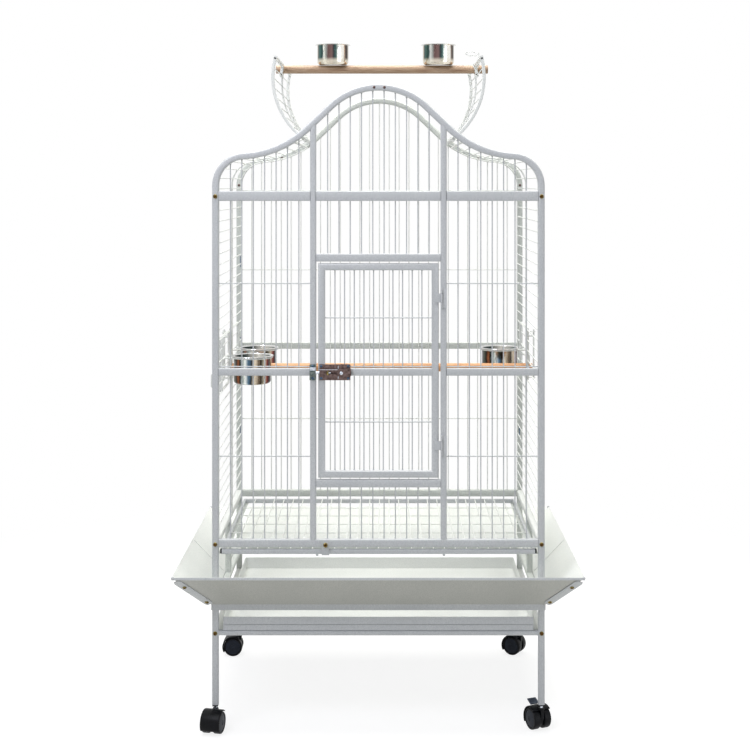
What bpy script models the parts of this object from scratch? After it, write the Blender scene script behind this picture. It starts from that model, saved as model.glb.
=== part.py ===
"""Floor-standing parrot cage with an opening play top, modelled in metres.

The origin is on the floor, under the middle of the cage. The front faces -Y, +X is to the
right of somebody who stands in front of it, and +Z is up.
"""

import math

import bmesh
import bpy
from mathutils import Matrix, Vector

# Cage body, outside sizes
CAGE_WIDTH = 0.813
CAGE_DEPTH = 0.584
CAGE_FLOOR = 0.449
LEG_BOTTOM = 0.064

# Tube, flat bar and wire stock
TUBE = 0.016
INNER_POST_WIDTH = 0.015
RAIL_THICKNESS = 0.011
WIRE = 0.003
BAR_PITCH = 0.0276
SIDE_PITCH = 0.027
SHEET = 0.0012

# Gaps and welds
SEAT_GAP = 0.0003
SLIDE_GAP = 0.0005
WELD = 0.0015
SHY = 0.0003

# Arched outline of the front and back frames, as slopes and radii of the outer edge
CORNER_TOP = 1.333
CORNER_RADIUS = 0.080
SHOULDER_SLOPE = math.radians(3.0)
SWEEP_RADIUS = 0.240
FLANK_SLOPE = math.radians(43.5)
DOME_RADIUS = 0.1754
CORNER_STEPS = 6
SWEEP_STEPS = 6
DOME_STEPS = 8

# Rails of the front and back frames: lower edge and height
BOTTOM_RAIL_HEIGHT = 0.019
MIDDLE_RAIL_LOW = 0.868
MIDDLE_RAIL_HEIGHT = 0.018
UPPER_RAIL_LOW = 1.295
UPPER_RAIL_HEIGHT = 0.024
CROSS_WIRE_HEIGHTS = (0.670, 1.093)
MIDDLE_WIRE_HEIGHT = 0.8895

# Doorway and main door
DOORWAY_WIDTH = 0.304
DOORWAY_LOW = 0.614
DOORWAY_HIGH = 1.147
LINTEL_HEIGHT = 0.019
DOOR_SIDE_GAP = 0.0048
DOOR_END_GAP = 0.0045
DOOR_FRAME_WIDTH = 0.017
DOOR_BAR_COUNT = 10
DOOR_WIRE_HEIGHTS = (0.754, 1.009)
HINGE_HEIGHTS = (0.698, 1.058)
HINGE_LENGTH = 0.048
HINGE_KNUCKLE_RADIUS = 0.0026
HINGE_PIN_RADIUS = 0.0011
HINGE_LEAF_REACH = 0.010
HINGE_LEAF_THICKNESS = 0.0015
HINGE_SUNK = 0.0002

# Slam latch on the main door
LATCH_PLATE_SIZE = (0.076, 0.039)
LATCH_PLATE_THICKNESS = 0.002
LATCH_CENTRE_HEIGHT = 0.877
LATCH_LEFT_OVERHANG = 0.003
LATCH_CASE_HEIGHT = 0.017
LATCH_CASE_DEPTH = 0.010
LATCH_CASE_INSET = 0.0005
LATCH_CASE_OVERHANG = 0.002
BOLT_RADIUS = 0.0030
BOLT_REACH = 0.010
BOLT_LENGTH = 0.046
KNOB_RADIUS = 0.0050
KNOB_LENGTH = 0.009
KNOB_SETBACK = 0.022
BOLT_TRAVEL = 0.0165
KEEPER_WIDTH = 0.0155

# Welded wire side panels
SIDE_ROD_INSET = 0.0145
SIDE_HOOP_SETBACK = 0.020
MIDDLE_HOOP_SPREAD = 0.012
SIDE_FIRST_ROD = 0.470
SHOULDER_RAIL = 0.006
SHOULDER_RAIL_X = 0.213

# Feeder doors, bowls and their rings
FEEDER_WIDTH = 0.190
FEEDER_FIRST_ROD = 12
FEEDER_ROD_COUNT = 5
FEEDER_FRAME = 0.004
FEEDER_HINGE_FROM_MIDDLE = 0.012
FEEDER_AXIS_OUT = 0.004
FEEDER_PIN_RADIUS = 0.0022
FEEDER_EYE_HEIGHT = 0.006
FEEDER_EYE_WALL = 0.002
FEEDER_ARM_HEIGHT = 0.004
FEEDER_NECK_INSET = 0.012
FEEDER_PULL_REACH = 0.0215
FEEDER_PULL_HEIGHT = 0.035
FEEDER_PULL_RISE = 0.009
BOWL_OFFSET = 0.080
BOWL_INSET = 0.080
BOWL_RADIUS = 0.048
BOWL_RIM_RADIUS = 0.0545
BOWL_HEIGHT = 0.072
BOWL_RIM_TOP = 0.895
BOWL_WALL = 0.0012
BOWL_BEND = 0.008
RING_SECTION = 0.004
RING_CLEARANCE = 0.0015
RING_ARM_SPREAD = 0.060
ROUND_SIDES = 20

# Opening roof: two halves on the shoulders
ROOF_HINGE_X = 0.185
ROOF_HINGE_Z = 1.449
ROOF_RADIUS = 0.190
ROOF_HOOP_GAP = 0.0006
ROOF_HOOP_THICKNESS = 0.0017
ROOF_MEETING_GAP = 0.020
ROOF_OPEN_ANGLE = math.radians(75.5)
ROOF_ROD_SPACES = 9
ROOF_RAIL = 0.008
ROOF_SIDE_RAIL = 0.006
ROOF_END_GAP = 0.005
ROOF_HINGE_ROD_RADIUS = 0.004
ROOF_EYE_RADIUS = 0.0048
ROOF_EYE_WALL = 0.0024
ROOF_EYE_WIDTH = 0.010
ROOF_EYE_PLACES = (-0.190, 0.0, 0.190)
ROOF_MIDDLE_HOOP_SPREAD = 0.024
CRADLE_WIDTH = 0.030

# Wire hook on the right roof half
HOOK_PLACE = -0.042
HOOK_EYE_RADIUS = 0.0064
HOOK_STEM = 0.030
HOOK_LOOP_LENGTH = 0.034
HOOK_LOOP_HEIGHT = 0.012

# Wooden perches and the two cups on the play top
PERCH_RADIUS = 0.011
PLAY_PERCH_ENDS = (-0.272, 0.288)
INNER_PERCH_HEIGHT = 0.8515
PERCH_NECK_RADIUS = 0.004
PERCH_BUTTON_LENGTH = 0.008
CUP_PLACES = (-0.122, 0.157)
CUP_RADIUS = 0.041
CUP_RIM_RADIUS = 0.0465
CUP_HEIGHT = 0.054

# Stand
STAND_RAIL_LOW = 0.296
STAND_RAIL_HEIGHT = 0.015
TRAY_RAIL_LOW = 0.233
TRAY_RAIL_HEIGHT = 0.012
LEDGE_WIDTH = 0.019
LEDGE_THICKNESS = 0.002

# Seed guards
GUARD_REACH = 0.086
GUARD_RIM_HEIGHT = 0.3995
GUARD_LIP = 0.007
BRACKET_FROM = 0.004
BRACKET_TO = 0.076
BRACKET_WIDTH = 0.0215
BRACKET_THICKNESS = 0.0016
BRACKET_BOLTS = (0.011, 0.0585)

# Grate and tray
GRATE_LOW = 0.432
GRATE_BAR_HEIGHT = 0.012
GRATE_BAR = 0.006
GRATE_FRONT_BAR = 0.009
GRATE_END_GAP = 0.002
GRATE_SIDE_GAP = 0.0065
GRATE_CROSS_RODS = 5
GRATE_TAB_X = -0.129
GRATE_TAB_WIDTH = 0.018
GRATE_TAB_TOP = 0.462
GRATE_TAB_FOOT = 0.008
THUMB_SCREW_RADIUS = 0.0055
THUMB_SCREW_LENGTH = 0.005
TRAY_HALF_WIDTH = 0.380
TRAY_HEIGHT = 0.0335
TRAY_WALL = 0.0018
TRAY_GROOVE = (0.0065, 0.0155)
TRAY_FRONT_SETBACK = 0.003
TRAY_BACK_SETBACK = 0.022

# Frame screws
SCREW_HEIGHTS = (0.239, 0.456, 1.306)
SCREW_HEAD_RADIUS = 0.005
SCREW_HEAD_HEIGHT = 0.003
SCREW_HEAD_EDGE = 0.0012
SCREW_HEAD_TOP_SHARE = 0.6
SCREW_SHANK_RADIUS = 0.0022
SCREW_LENGTH = 0.011

# Twin-wheel casters
WHEEL_RADIUS = 0.026
WHEEL_WIDTH = 0.0175
WHEEL_SPACING = 0.012
WHEEL_SIDES = 24
CASTER_TRAIL = 0.016
AXLE_RADIUS = 0.003
WEB_THICKNESS = 0.009
WEB_RADIUS = 0.020
BOSS_RADIUS = 0.0075
BOSS_TOP = 0.0625
FENDER_FROM = math.radians(-30)
FENDER_TO = math.radians(125)
FENDER_STEPS = 8
FENDER_GAP = 0.0015
FENDER_THICKNESS = 0.003
CASTER_WIDTH = 0.049
STEM_RADIUS = 0.005
STEM_LENGTH = 0.030
BRAKE_WIDTH = 0.024
BRAKE_LENGTH = 0.020
BRAKE_THICKNESS = 0.003
BRAKE_PLACE = math.radians(62)
BRAKE_TILT = math.radians(25)

HALF_WIDTH = CAGE_WIDTH / 2
HALF_DEPTH = CAGE_DEPTH / 2
LEFT = -1
RIGHT = 1
FRONT = -1
BACK = 1
SIDE_NAMES = {LEFT: "left", RIGHT: "right"}
END_NAMES = {FRONT: "front", BACK: "back"}


def clear_scene():
    """Remove whatever the file already holds."""
    for old in list(bpy.data.objects):
        bpy.data.objects.remove(old, do_unlink=True)


def finish(name, colour, roughness, metallic=0.0):
    """Make one material."""
    made = bpy.data.materials.new(name)
    made.use_nodes = True
    shader = made.node_tree.nodes["Principled BSDF"]
    shader.inputs["Base Color"].default_value = (*colour, 1.0)
    shader.inputs["Roughness"].default_value = roughness
    shader.inputs["Metallic"].default_value = metallic
    made.diffuse_color = (*colour, 1.0)
    return made


def block(x_range, y_range, z_range):
    """Return a box between three pairs of limits, as points and faces."""
    x_low, x_high = sorted(x_range)
    y_low, y_high = sorted(y_range)
    z_low, z_high = sorted(z_range)
    points = [Vector((x, y, z)) for z in (z_low, z_high) for y in (y_low, y_high) for x in (x_low, x_high)]
    faces = [(0, 2, 3, 1), (4, 5, 7, 6), (0, 1, 5, 4), (1, 3, 7, 5), (3, 2, 6, 7), (2, 0, 4, 6)]
    return points, faces


def loft(rings, closed=False):
    """Join equal rings of points by quads, with flat caps unless the rings run in a circle."""
    count = len(rings[0])
    points = [Vector(point) for ring in rings for point in ring]
    faces = []
    spans = len(rings) if closed else len(rings) - 1
    for ring in range(spans):
        here = ring * count
        there = (ring + 1) % len(rings) * count
        for index in range(count):
            after = (index + 1) % count
            faces.append((here + index, here + after, there + after, there + index))
    if not closed:
        faces.append(tuple(reversed(range(count))))
        faces.append(tuple((len(rings) - 1) * count + index for index in range(count)))
    return points, faces


def ribbon(outline, inner, outer, y_range):
    """Sweep a rectangle along an outline of (x, z, slope), between two insets from it."""
    y_low, y_high = sorted(y_range)
    rings = []
    for sample in outline:
        x_in, z_in = inset(sample, inner)
        x_out, z_out = inset(sample, outer)
        outside = [(x_out, y_low, z_out), (x_out, y_high, z_out)]
        rings.append(outside + [(x_in, y_high, z_in), (x_in, y_low, z_in)])
    return loft(rings)


def cylinder(centre, axis, radius, length, sides=12, start=0.0):
    """Return a closed cylinder that starts at centre and runs along axis."""
    axis = Vector(axis).normalized()
    helper = Vector((0, 0, 1)) if abs(axis.z) < 0.9 else Vector((1, 0, 0))
    first = axis.cross(helper).normalized()
    second = axis.cross(first)
    rings = []
    for distance in (0.0, length):
        ring = []
        for index in range(sides):
            angle = start + math.tau * index / sides
            spoke = first * math.cos(angle) + second * math.sin(angle)
            ring.append(Vector(centre) + axis * distance + spoke * radius)
        rings.append(ring)
    return loft(rings)


def turned(centre, profile, sides):
    """Spin a closed profile of (radius, height) about the upright axis through centre."""
    x, y, z = centre
    rings = []
    for index in range(sides):
        angle = math.tau * index / sides
        cosine, sine = math.cos(angle), math.sin(angle)
        rings.append([(x + radius * cosine, y + radius * sine, z + height) for radius, height in profile])
    return loft(rings, closed=True)


def tube_ring(centre, axis, inner, outer, length, sides=8):
    """Return a short tube with a bore, centred on centre."""
    axis = Vector(axis).normalized()
    helper = Vector((0, 0, 1)) if abs(axis.z) < 0.9 else Vector((1, 0, 0))
    first = axis.cross(helper).normalized()
    second = axis.cross(first)
    rings = []
    for index in range(sides):
        angle = math.tau * (index + 0.5) / sides
        spoke = first * math.cos(angle) + second * math.sin(angle)
        low = Vector(centre) - axis * length / 2
        high = Vector(centre) + axis * length / 2
        rings.append([low + spoke * inner, low + spoke * outer, high + spoke * outer, high + spoke * inner])
    return loft(rings, closed=True)


def moved(shape, matrix):
    """Return a shape with its points put through a matrix."""
    points, faces = shape
    return [matrix @ point for point in points], faces


def about(axis_point, axis, angle):
    """Return a rotation about an axis that passes through a point."""
    place = Matrix.Translation(axis_point)
    return place @ Matrix.Rotation(angle, 4, axis) @ place.inverted()


def mesh_object(name, shapes):
    """Make one object from shapes that don't touch each other."""
    mesh = bpy.data.meshes.new(name)
    build = bmesh.new()
    for points, faces in shapes:
        corners = [build.verts.new(point) for point in points]
        for face in faces:
            build.faces.new([corners[index] for index in face])
    bmesh.ops.recalc_face_normals(build, faces=build.faces)
    build.to_mesh(mesh)
    build.free()
    made = bpy.data.objects.new(name, mesh)
    bpy.context.scene.collection.objects.link(made)
    return made


def combine(body, shapes, operation):
    """Weld shapes to a body, or cut them from it, with an exact Boolean."""
    other = mesh_object("other", shapes)
    step = body.modifiers.new("step", "BOOLEAN")
    step.operation = operation
    step.solver = "EXACT"
    step.object = other
    evaluated = body.evaluated_get(bpy.context.evaluated_depsgraph_get())
    result = bpy.data.meshes.new_from_object(evaluated)
    body.modifiers.remove(step)
    body.data = result
    bpy.data.objects.remove(other, do_unlink=True)


def solid(name, groups, material, cuts=(), smooth_below=None):
    """Weld groups of shapes into one body; the shapes of one group don't touch each other."""
    body = mesh_object(name, groups[0])
    for group in groups[1:]:
        combine(body, group, "UNION")
    for group in cuts:
        combine(body, group, "DIFFERENCE")
    body.data.name = name
    body.data.materials.clear()
    body.data.materials.append(material)
    if smooth_below is not None:
        body.data.shade_smooth()
        body.data.set_sharp_from_angle(angle=smooth_below)
    return body


def pivot(name, place, parts):
    """Put an empty on a joint axis and hang the moving parts from it."""
    marker = bpy.data.objects.new(name, None)
    marker.location = place
    bpy.context.scene.collection.objects.link(marker)
    for part in parts:
        part.parent = marker
        part.matrix_parent_inverse = Matrix.Translation(place).inverted()
    return marker


def outline_half():
    """Return (x, z, slope) down the left half of the arch's outer edge, from its post to its top."""
    samples = [(-HALF_WIDTH, CORNER_TOP, math.pi / 2)]
    centre = Vector((-HALF_WIDTH + CORNER_RADIUS, CORNER_TOP))
    for step in range(1, CORNER_STEPS + 1):
        slope = math.pi / 2 + (SHOULDER_SLOPE - math.pi / 2) * step / CORNER_STEPS
        point = centre + CORNER_RADIUS * Vector((-math.sin(slope), math.cos(slope)))
        samples.append((point.x, point.y, slope))
    shoulder = Vector(samples[-1][:2])
    centre = shoulder + SWEEP_RADIUS * Vector((-math.sin(SHOULDER_SLOPE), math.cos(SHOULDER_SLOPE)))
    for step in range(1, SWEEP_STEPS + 1):
        slope = SHOULDER_SLOPE + (FLANK_SLOPE - SHOULDER_SLOPE) * step / SWEEP_STEPS
        point = centre - SWEEP_RADIUS * Vector((-math.sin(slope), math.cos(slope)))
        samples.append((point.x, point.y, slope))
    flank_end_x = -DOME_RADIUS * math.sin(FLANK_SLOPE)
    rise = (flank_end_x - samples[-1][0]) * math.tan(FLANK_SLOPE)
    dome_base = samples[-1][1] + rise - DOME_RADIUS * math.cos(FLANK_SLOPE)
    for step in range(DOME_STEPS + 1):
        slope = FLANK_SLOPE * (1 - step / DOME_STEPS)
        x = -DOME_RADIUS * math.sin(slope)
        samples.append((x, dome_base + DOME_RADIUS * math.cos(slope), slope))
    return samples


def inset(sample, distance):
    """Return the point that lies a distance inside an outline sample."""
    x, z, slope = sample
    return x + distance * math.sin(slope), z - distance * math.cos(slope)


def outline_whole(foot):
    """Return the arch's outer edge from one foot over the top to the other foot."""
    left = [(-HALF_WIDTH, foot, math.pi / 2)] + outline_half()
    right = [(-x, z, -slope) for x, z, slope in reversed(left[:-1])]
    return left + right


def arch_height(x, distance=TUBE):
    """Return the height of the arch over a place x, measured on a line inside its outer edge."""
    line = [inset(sample, distance) for sample in outline_half()]
    reach = -abs(x)
    for (x_low, z_low), (x_high, z_high) in zip(line, line[1:]):
        if x_low <= reach <= x_high:
            return z_low + (z_high - z_low) * (reach - x_low) / (x_high - x_low)
    return line[0][1]


def spread(low, high, pitch):
    """Return evenly spaced places between two limits, as near the pitch as they fit."""
    count = round((high - low) / pitch)
    return [low + (high - low) * index / count for index in range(1, count)]


def depth_range(end, near, far):
    """Return the Y limits of something that lies between two depths behind an end's outer face."""
    return end * (HALF_DEPTH - near), end * (HALF_DEPTH - far)


def upright_bars(places, low, end, top=None):
    """Return upright wires behind the rails, up to the arch or up to a given height."""
    y_range = depth_range(end, RAIL_THICKNESS + SLIDE_GAP, RAIL_THICKNESS + SLIDE_GAP + WIRE)
    bars = []
    for x in places:
        high = arch_height(abs(x) + WIRE / 2) if top is None else top
        bars.append(block((x - WIRE / 2, x + WIRE / 2), y_range, (low - WELD, high + WELD)))
    return bars


def cross_wires(heights, x_range, end):
    """Return thin level wires in front of the upright ones."""
    far = RAIL_THICKNESS
    y_range = depth_range(end, far - WIRE, far)
    low, high = x_range
    return [block((low - WELD, high + WELD), y_range, (z - WIRE / 2, z + WIRE / 2)) for z in heights]


def rail(x_range, low, height, end, thickness=RAIL_THICKNESS):
    """Return a level rail that ends inside the posts at both sides."""
    left, right = x_range
    return block((left - WELD, right + WELD), depth_range(end, SHY, thickness), (low, low + height))


INNER_POST_INNER = DOORWAY_WIDTH / 2
INNER_POST_OUTER = INNER_POST_INNER + INNER_POST_WIDTH
POST_INNER = HALF_WIDTH - TUBE
FLOOR_RAIL_TOP = CAGE_FLOOR + BOTTOM_RAIL_HEIGHT


def screw_cutters(end, heights):
    """Return the holes for the frame screws of one end's two posts."""
    cutters = []
    for side in (LEFT, RIGHT):
        for height in heights:
            place = (side * (HALF_WIDTH - TUBE / 2), end * (HALF_DEPTH + SHY), height)
            cutters.append(cylinder(place, (0, -end, 0), SCREW_SHANK_RADIUS + SEAT_GAP * 2, SCREW_LENGTH, 8))
    return cutters


def frame_hoop(end):
    """Return the tube that makes both outer posts and the arch."""
    return ribbon(outline_whole(CAGE_FLOOR), TUBE, 0.0, depth_range(end, 0.0, TUBE))


def front_panel(material):
    """Front frame: arched tube, two inner posts, rails, and the fixed wires around the doorway."""
    deep = TUBE - SHY
    post_top = (arch_height(INNER_POST_INNER, TUBE) + arch_height(INNER_POST_OUTER, 0.0)) / 2
    posts = []
    rails = [rail((-POST_INNER, POST_INNER), CAGE_FLOOR, BOTTOM_RAIL_HEIGHT, FRONT, deep)]
    for side in (LEFT, RIGHT):
        x_range = (side * INNER_POST_INNER, side * INNER_POST_OUTER)
        y_range = depth_range(FRONT, SHY * 2, deep - SHY)
        posts.append(block(x_range, y_range, (FLOOR_RAIL_TOP - WELD, post_top)))
    between = (-INNER_POST_INNER, INNER_POST_INNER)
    lintels = [
        rail(between, DOORWAY_HIGH, LINTEL_HEIGHT, FRONT, deep - SHY * 3),
        rail(between, DOORWAY_LOW - BOTTOM_RAIL_HEIGHT, BOTTOM_RAIL_HEIGHT, FRONT, deep - SHY * 3),
        rail(between, UPPER_RAIL_LOW, UPPER_RAIL_HEIGHT, FRONT),
    ]
    bars = upright_bars(spread(*between, BAR_PITCH), DOORWAY_HIGH + LINTEL_HEIGHT, FRONT)
    sill = DOORWAY_LOW - BOTTOM_RAIL_HEIGHT
    bars += upright_bars(spread(*between, BAR_PITCH), FLOOR_RAIL_TOP, FRONT, sill)
    for side in (LEFT, RIGHT):
        low, high = sorted((side * INNER_POST_OUTER, side * POST_INNER))
        lintels.append(rail((low, high), UPPER_RAIL_LOW, UPPER_RAIL_HEIGHT, FRONT))
        lintels.append(rail((low, high), MIDDLE_RAIL_LOW, MIDDLE_RAIL_HEIGHT, FRONT))
        lintels += cross_wires((*CROSS_WIRE_HEIGHTS, MIDDLE_WIRE_HEIGHT), (low, high), FRONT)
        bars += upright_bars(spread(low, high, BAR_PITCH), FLOOR_RAIL_TOP, FRONT)
    groups = [[frame_hoop(FRONT)], rails, posts, lintels, bars]
    return solid("front_panel", groups, material, [screw_cutters(FRONT, SCREW_HEIGHTS[1:])])


def back_panel(material):
    """Back frame: arched tube, three rails and a full field of upright wires."""
    deep = TUBE - SHY
    across = (-POST_INNER, POST_INNER)
    rails = [
        rail(across, CAGE_FLOOR, BOTTOM_RAIL_HEIGHT, BACK, deep),
        rail(across, MIDDLE_RAIL_LOW, MIDDLE_RAIL_HEIGHT, BACK),
        rail(across, UPPER_RAIL_LOW, UPPER_RAIL_HEIGHT, BACK),
    ]
    rails += cross_wires(CROSS_WIRE_HEIGHTS, across, BACK)
    bars = upright_bars(spread(*across, BAR_PITCH), FLOOR_RAIL_TOP, BACK)
    return solid("back_panel", [[frame_hoop(BACK)], rails, bars], material)


def side_line(distance):
    """Return the line that the side panel follows, from the cage floor to its shoulder rail."""
    samples = [(-HALF_WIDTH, FLOOR_RAIL_TOP - WELD, math.pi / 2)]
    for sample in outline_half():
        if sample[0] > -SHOULDER_RAIL_X:
            break
        samples.append(sample)
    last = samples[-1]
    following = outline_half()[len(samples) - 1]
    share = (-SHOULDER_RAIL_X - last[0]) / (following[0] - last[0])
    samples.append(tuple(start + (stop - start) * share for start, stop in zip(last, following)))
    return [(*inset(sample, distance), sample[2]) for sample in samples]


def walk(line, distance):
    """Return the point that lies a distance along a line of (x, z, slope)."""
    left = distance
    for (x_low, z_low, _), (x_high, z_high, _) in zip(line, line[1:]):
        length = math.hypot(x_high - x_low, z_high - z_low)
        if left <= length:
            return x_low + (x_high - x_low) * left / length, z_low + (z_high - z_low) * left / length
        left -= length
    return line[-1][0], line[-1][1]


def line_length(line):
    """Return the length of a line of (x, z, slope)."""
    return sum(math.hypot(b[0] - a[0], b[1] - a[1]) for a, b in zip(line, line[1:]))


def side_rod_places():
    """Return (x, z) of each front-to-back rod on the left side, from the floor up."""
    line = side_line(SIDE_ROD_INSET)
    first = SIDE_FIRST_ROD + SIDE_PITCH - line[0][1]
    span = line_length(line) - first
    count = round(span / SIDE_PITCH)
    return [walk(line, first + span * index / count) for index in range(count)]


def shoulder_place():
    """Return (x, z) of the rail at the top of the left side panel."""
    line = side_line(SIDE_ROD_INSET)
    return line[-1][0], line[-1][1]


def feeder_heights():
    """Return the heights of the two rods that bound each feeder opening."""
    rods = side_rod_places()
    return rods[FEEDER_FIRST_ROD][1], rods[FEEDER_FIRST_ROD + FEEDER_ROD_COUNT][1]


def feeder_posts(end):
    """Return the depths of a feeder opening's two upright wires, hinge side first."""
    hinge = HALF_DEPTH + end * (FEEDER_HINGE_FROM_MIDDLE + FEEDER_FRAME)
    return hinge, hinge + end * FEEDER_WIDTH


def feeder_axis(side, end):
    """Return the foot of a feeder door's hinge axis, close to the middle of the side."""
    return Vector((side * (HALF_WIDTH + FEEDER_AXIS_OUT), end * FEEDER_HINGE_FROM_MIDDLE, 0.0))


def feeder_eye_heights():
    """Return the heights of the two eyes that hold a feeder door's pin."""
    low, high = feeder_heights()
    return low + FEEDER_EYE_HEIGHT, high - FEEDER_EYE_HEIGHT


def side_panel(side, feeder_ends, material):
    """Wire side panel: floor rail, hoops, front-to-back rods, shoulder rail and roof eyes."""
    mirror = Matrix.Scale(side * LEFT, 4, (1, 0, 0))
    floor_rail = block(
        (-HALF_WIDTH, -POST_INNER),
        (-HALF_DEPTH + TUBE + SEAT_GAP, HALF_DEPTH - TUBE - SEAT_GAP),
        (CAGE_FLOOR, FLOOR_RAIL_TOP),
    )
    hoops = []
    inner = SIDE_ROD_INSET + WIRE / 2
    outer = SIDE_ROD_INSET - WIRE / 2
    foot_and_arch = side_outline()
    for depth in (SIDE_HOOP_SETBACK, CAGE_DEPTH - SIDE_HOOP_SETBACK):
        y = depth - HALF_DEPTH
        hoops.append(ribbon(foot_and_arch, inner, outer, (y - WIRE / 2, y + WIRE / 2)))
    for y in (-MIDDLE_HOOP_SPREAD / 2, MIDDLE_HOOP_SPREAD / 2):
        lift = WIRE + SEAT_GAP
        hoops.append(ribbon(foot_and_arch, inner - lift, outer - lift, (y - WIRE / 2, y + WIRE / 2)))
    x, z = shoulder_place()
    half = SHOULDER_RAIL / 2
    ends = (SIDE_HOOP_SETBACK - WIRE - HALF_DEPTH, HALF_DEPTH - SIDE_HOOP_SETBACK + WIRE)
    shoulder = [block((x - half, x + half), ends, (z - half, z + half))]
    eyes = []
    necks = []
    for y in ROOF_EYE_PLACES:
        place = (-ROOF_HINGE_X, y, ROOF_HINGE_Z)
        outer_radius = ROOF_EYE_RADIUS + ROOF_EYE_WALL
        eyes.append(tube_ring(place, (0, 1, 0), ROOF_EYE_RADIUS, outer_radius, ROOF_EYE_WIDTH))
        reach = -ROOF_HINGE_X - ROOF_EYE_RADIUS - ROOF_EYE_WALL / 2
        width = (y - ROOF_EYE_WIDTH / 2 + SHY, y + ROOF_EYE_WIDTH / 2 - SHY)
        necks.append(block((x, reach), width, (z - half + SHY, ROOF_HINGE_Z)))
    rods, posts, pin_eyes, pin_arms = side_rods(feeder_ends)
    groups = [[floor_rail], hoops, shoulder, eyes, necks]
    if posts:
        groups += [posts, pin_arms, pin_eyes]
    groups.append(rods)
    groups = [[moved(shape, mirror) for shape in group] for group in groups]
    return solid(f"{SIDE_NAMES[side]}_side_panel", groups, material)


def side_outline():
    """Return the outer outline that the side hoops are inset from."""
    return [(*inset((x, z, slope), -SIDE_ROD_INSET), slope) for x, z, slope in side_line(SIDE_ROD_INSET)]


def side_rods(feeder_ends):
    """Return the rods of a left side panel, cut away at the feeder openings, and what frames these."""
    front = SIDE_HOOP_SETBACK - WIRE / 2 + WELD
    back = CAGE_DEPTH - front
    low, high = feeder_heights()
    x_frame = -HALF_WIDTH + SIDE_ROD_INSET
    frame = FEEDER_FRAME / 2
    thin = WIRE / 2 - SHY
    openings = sorted(sorted(feeder_posts(end)) for end in feeder_ends)
    rods = []
    for x, z in side_rod_places():
        spans = [(front, back)]
        if low < z < high:
            edges = [front]
            for start, stop in openings:
                edges += [start - frame + WELD, stop + frame - WELD]
            edges.append(back)
            spans = list(zip(edges[::2], edges[1::2]))
        for start, stop in spans:
            y_range = (start - HALF_DEPTH, stop - HALF_DEPTH)
            rods.append(block((x - thin, x + thin), y_range, (z - thin, z + thin)))
    posts = []
    arms = []
    eyes = []
    for end in feeder_ends:
        hinge_depth, far_depth = feeder_posts(end)
        for depth in (hinge_depth, far_depth):
            y = depth - HALF_DEPTH
            thick = (x_frame - frame, x_frame + frame)
            posts.append(block(thick, (y - frame, y + frame), (low, high)))
        axis = feeder_axis(LEFT, end)
        for z in feeder_eye_heights():
            place = (axis.x, axis.y, z)
            bore = FEEDER_PIN_RADIUS + SLIDE_GAP * 1.6
            eyes.append(tube_ring(place, (0, 0, 1), bore, bore + FEEDER_EYE_WALL, FEEDER_EYE_HEIGHT))
            y_range = (axis.y - end * FEEDER_EYE_WALL * 0.75, hinge_depth - HALF_DEPTH)
            arm_x = (axis.x + bore + FEEDER_EYE_WALL / 2, x_frame)
            arm_half = FEEDER_ARM_HEIGHT / 2
            arms.append(block(arm_x, y_range, (z - arm_half, z + arm_half)))
    return rods, posts, eyes, arms


def feeder_door_plane():
    """Return the X of the outer and inner face of a closed feeder door on the left."""
    inner = -HALF_WIDTH + SIDE_ROD_INSET - FEEDER_FRAME / 2 - SEAT_GAP * 2
    return inner - FEEDER_FRAME, inner


def feeder_door_edges(end):
    """Return the Y of a feeder door's hinge edge and of its free edge."""
    hinge_depth, far_depth = feeder_posts(end)
    edge = hinge_depth - HALF_DEPTH + end * (FEEDER_FRAME / 2 + SEAT_GAP)
    return edge, far_depth - HALF_DEPTH + end * FEEDER_FRAME / 2


def feeder_door(side, end, material):
    """Feeder door: wire frame, hinge pin, pull and the ring that carries its bowl."""
    mirror = Matrix.Scale(side * LEFT, 4, (1, 0, 0))
    low, high = feeder_heights()
    frame = FEEDER_FRAME
    x_range = feeder_door_plane()
    y_hinge, y_far = feeder_door_edges(end)
    uprights = [
        block(x_range, (y_hinge, y_hinge + end * frame), (low, high)),
        block(x_range, (y_far, y_far - end * frame), (low, high)),
    ]
    inside = (x_range[0] + SHY, x_range[1] - SHY)
    ring_z = BOWL_RIM_TOP - BOWL_WALL * 2 - SEAT_GAP - RING_SECTION
    level = [low - frame / 2, high - frame / 2, ring_z]
    bars = [block(inside, (y_hinge + SHY * end, y_far - SHY * end), (z, z + frame)) for z in level]
    wires = []
    pitch = (high - low) / FEEDER_ROD_COUNT
    middle = (x_range[0] + x_range[1]) / 2
    wire_x = (middle - WIRE / 2, middle + WIRE / 2)
    wire_y = (y_hinge + end * (frame - WELD), y_far - end * (frame - WELD))
    for index in range(1, FEEDER_ROD_COUNT):
        z = low + pitch * index
        if abs(z - ring_z) > frame * 2:
            wires.append(block(wire_x, wire_y, (z - WIRE / 2, z + WIRE / 2)))
    groups = [uprights, bars, wires, *bowl_ring(end, ring_z, middle), *feeder_pin(end), *feeder_pull(end)]
    groups = [[moved(shape, mirror) for shape in group] for group in groups]
    return solid(f"{feeder_name(side, end)}_feeder_door", groups, material)


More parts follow.
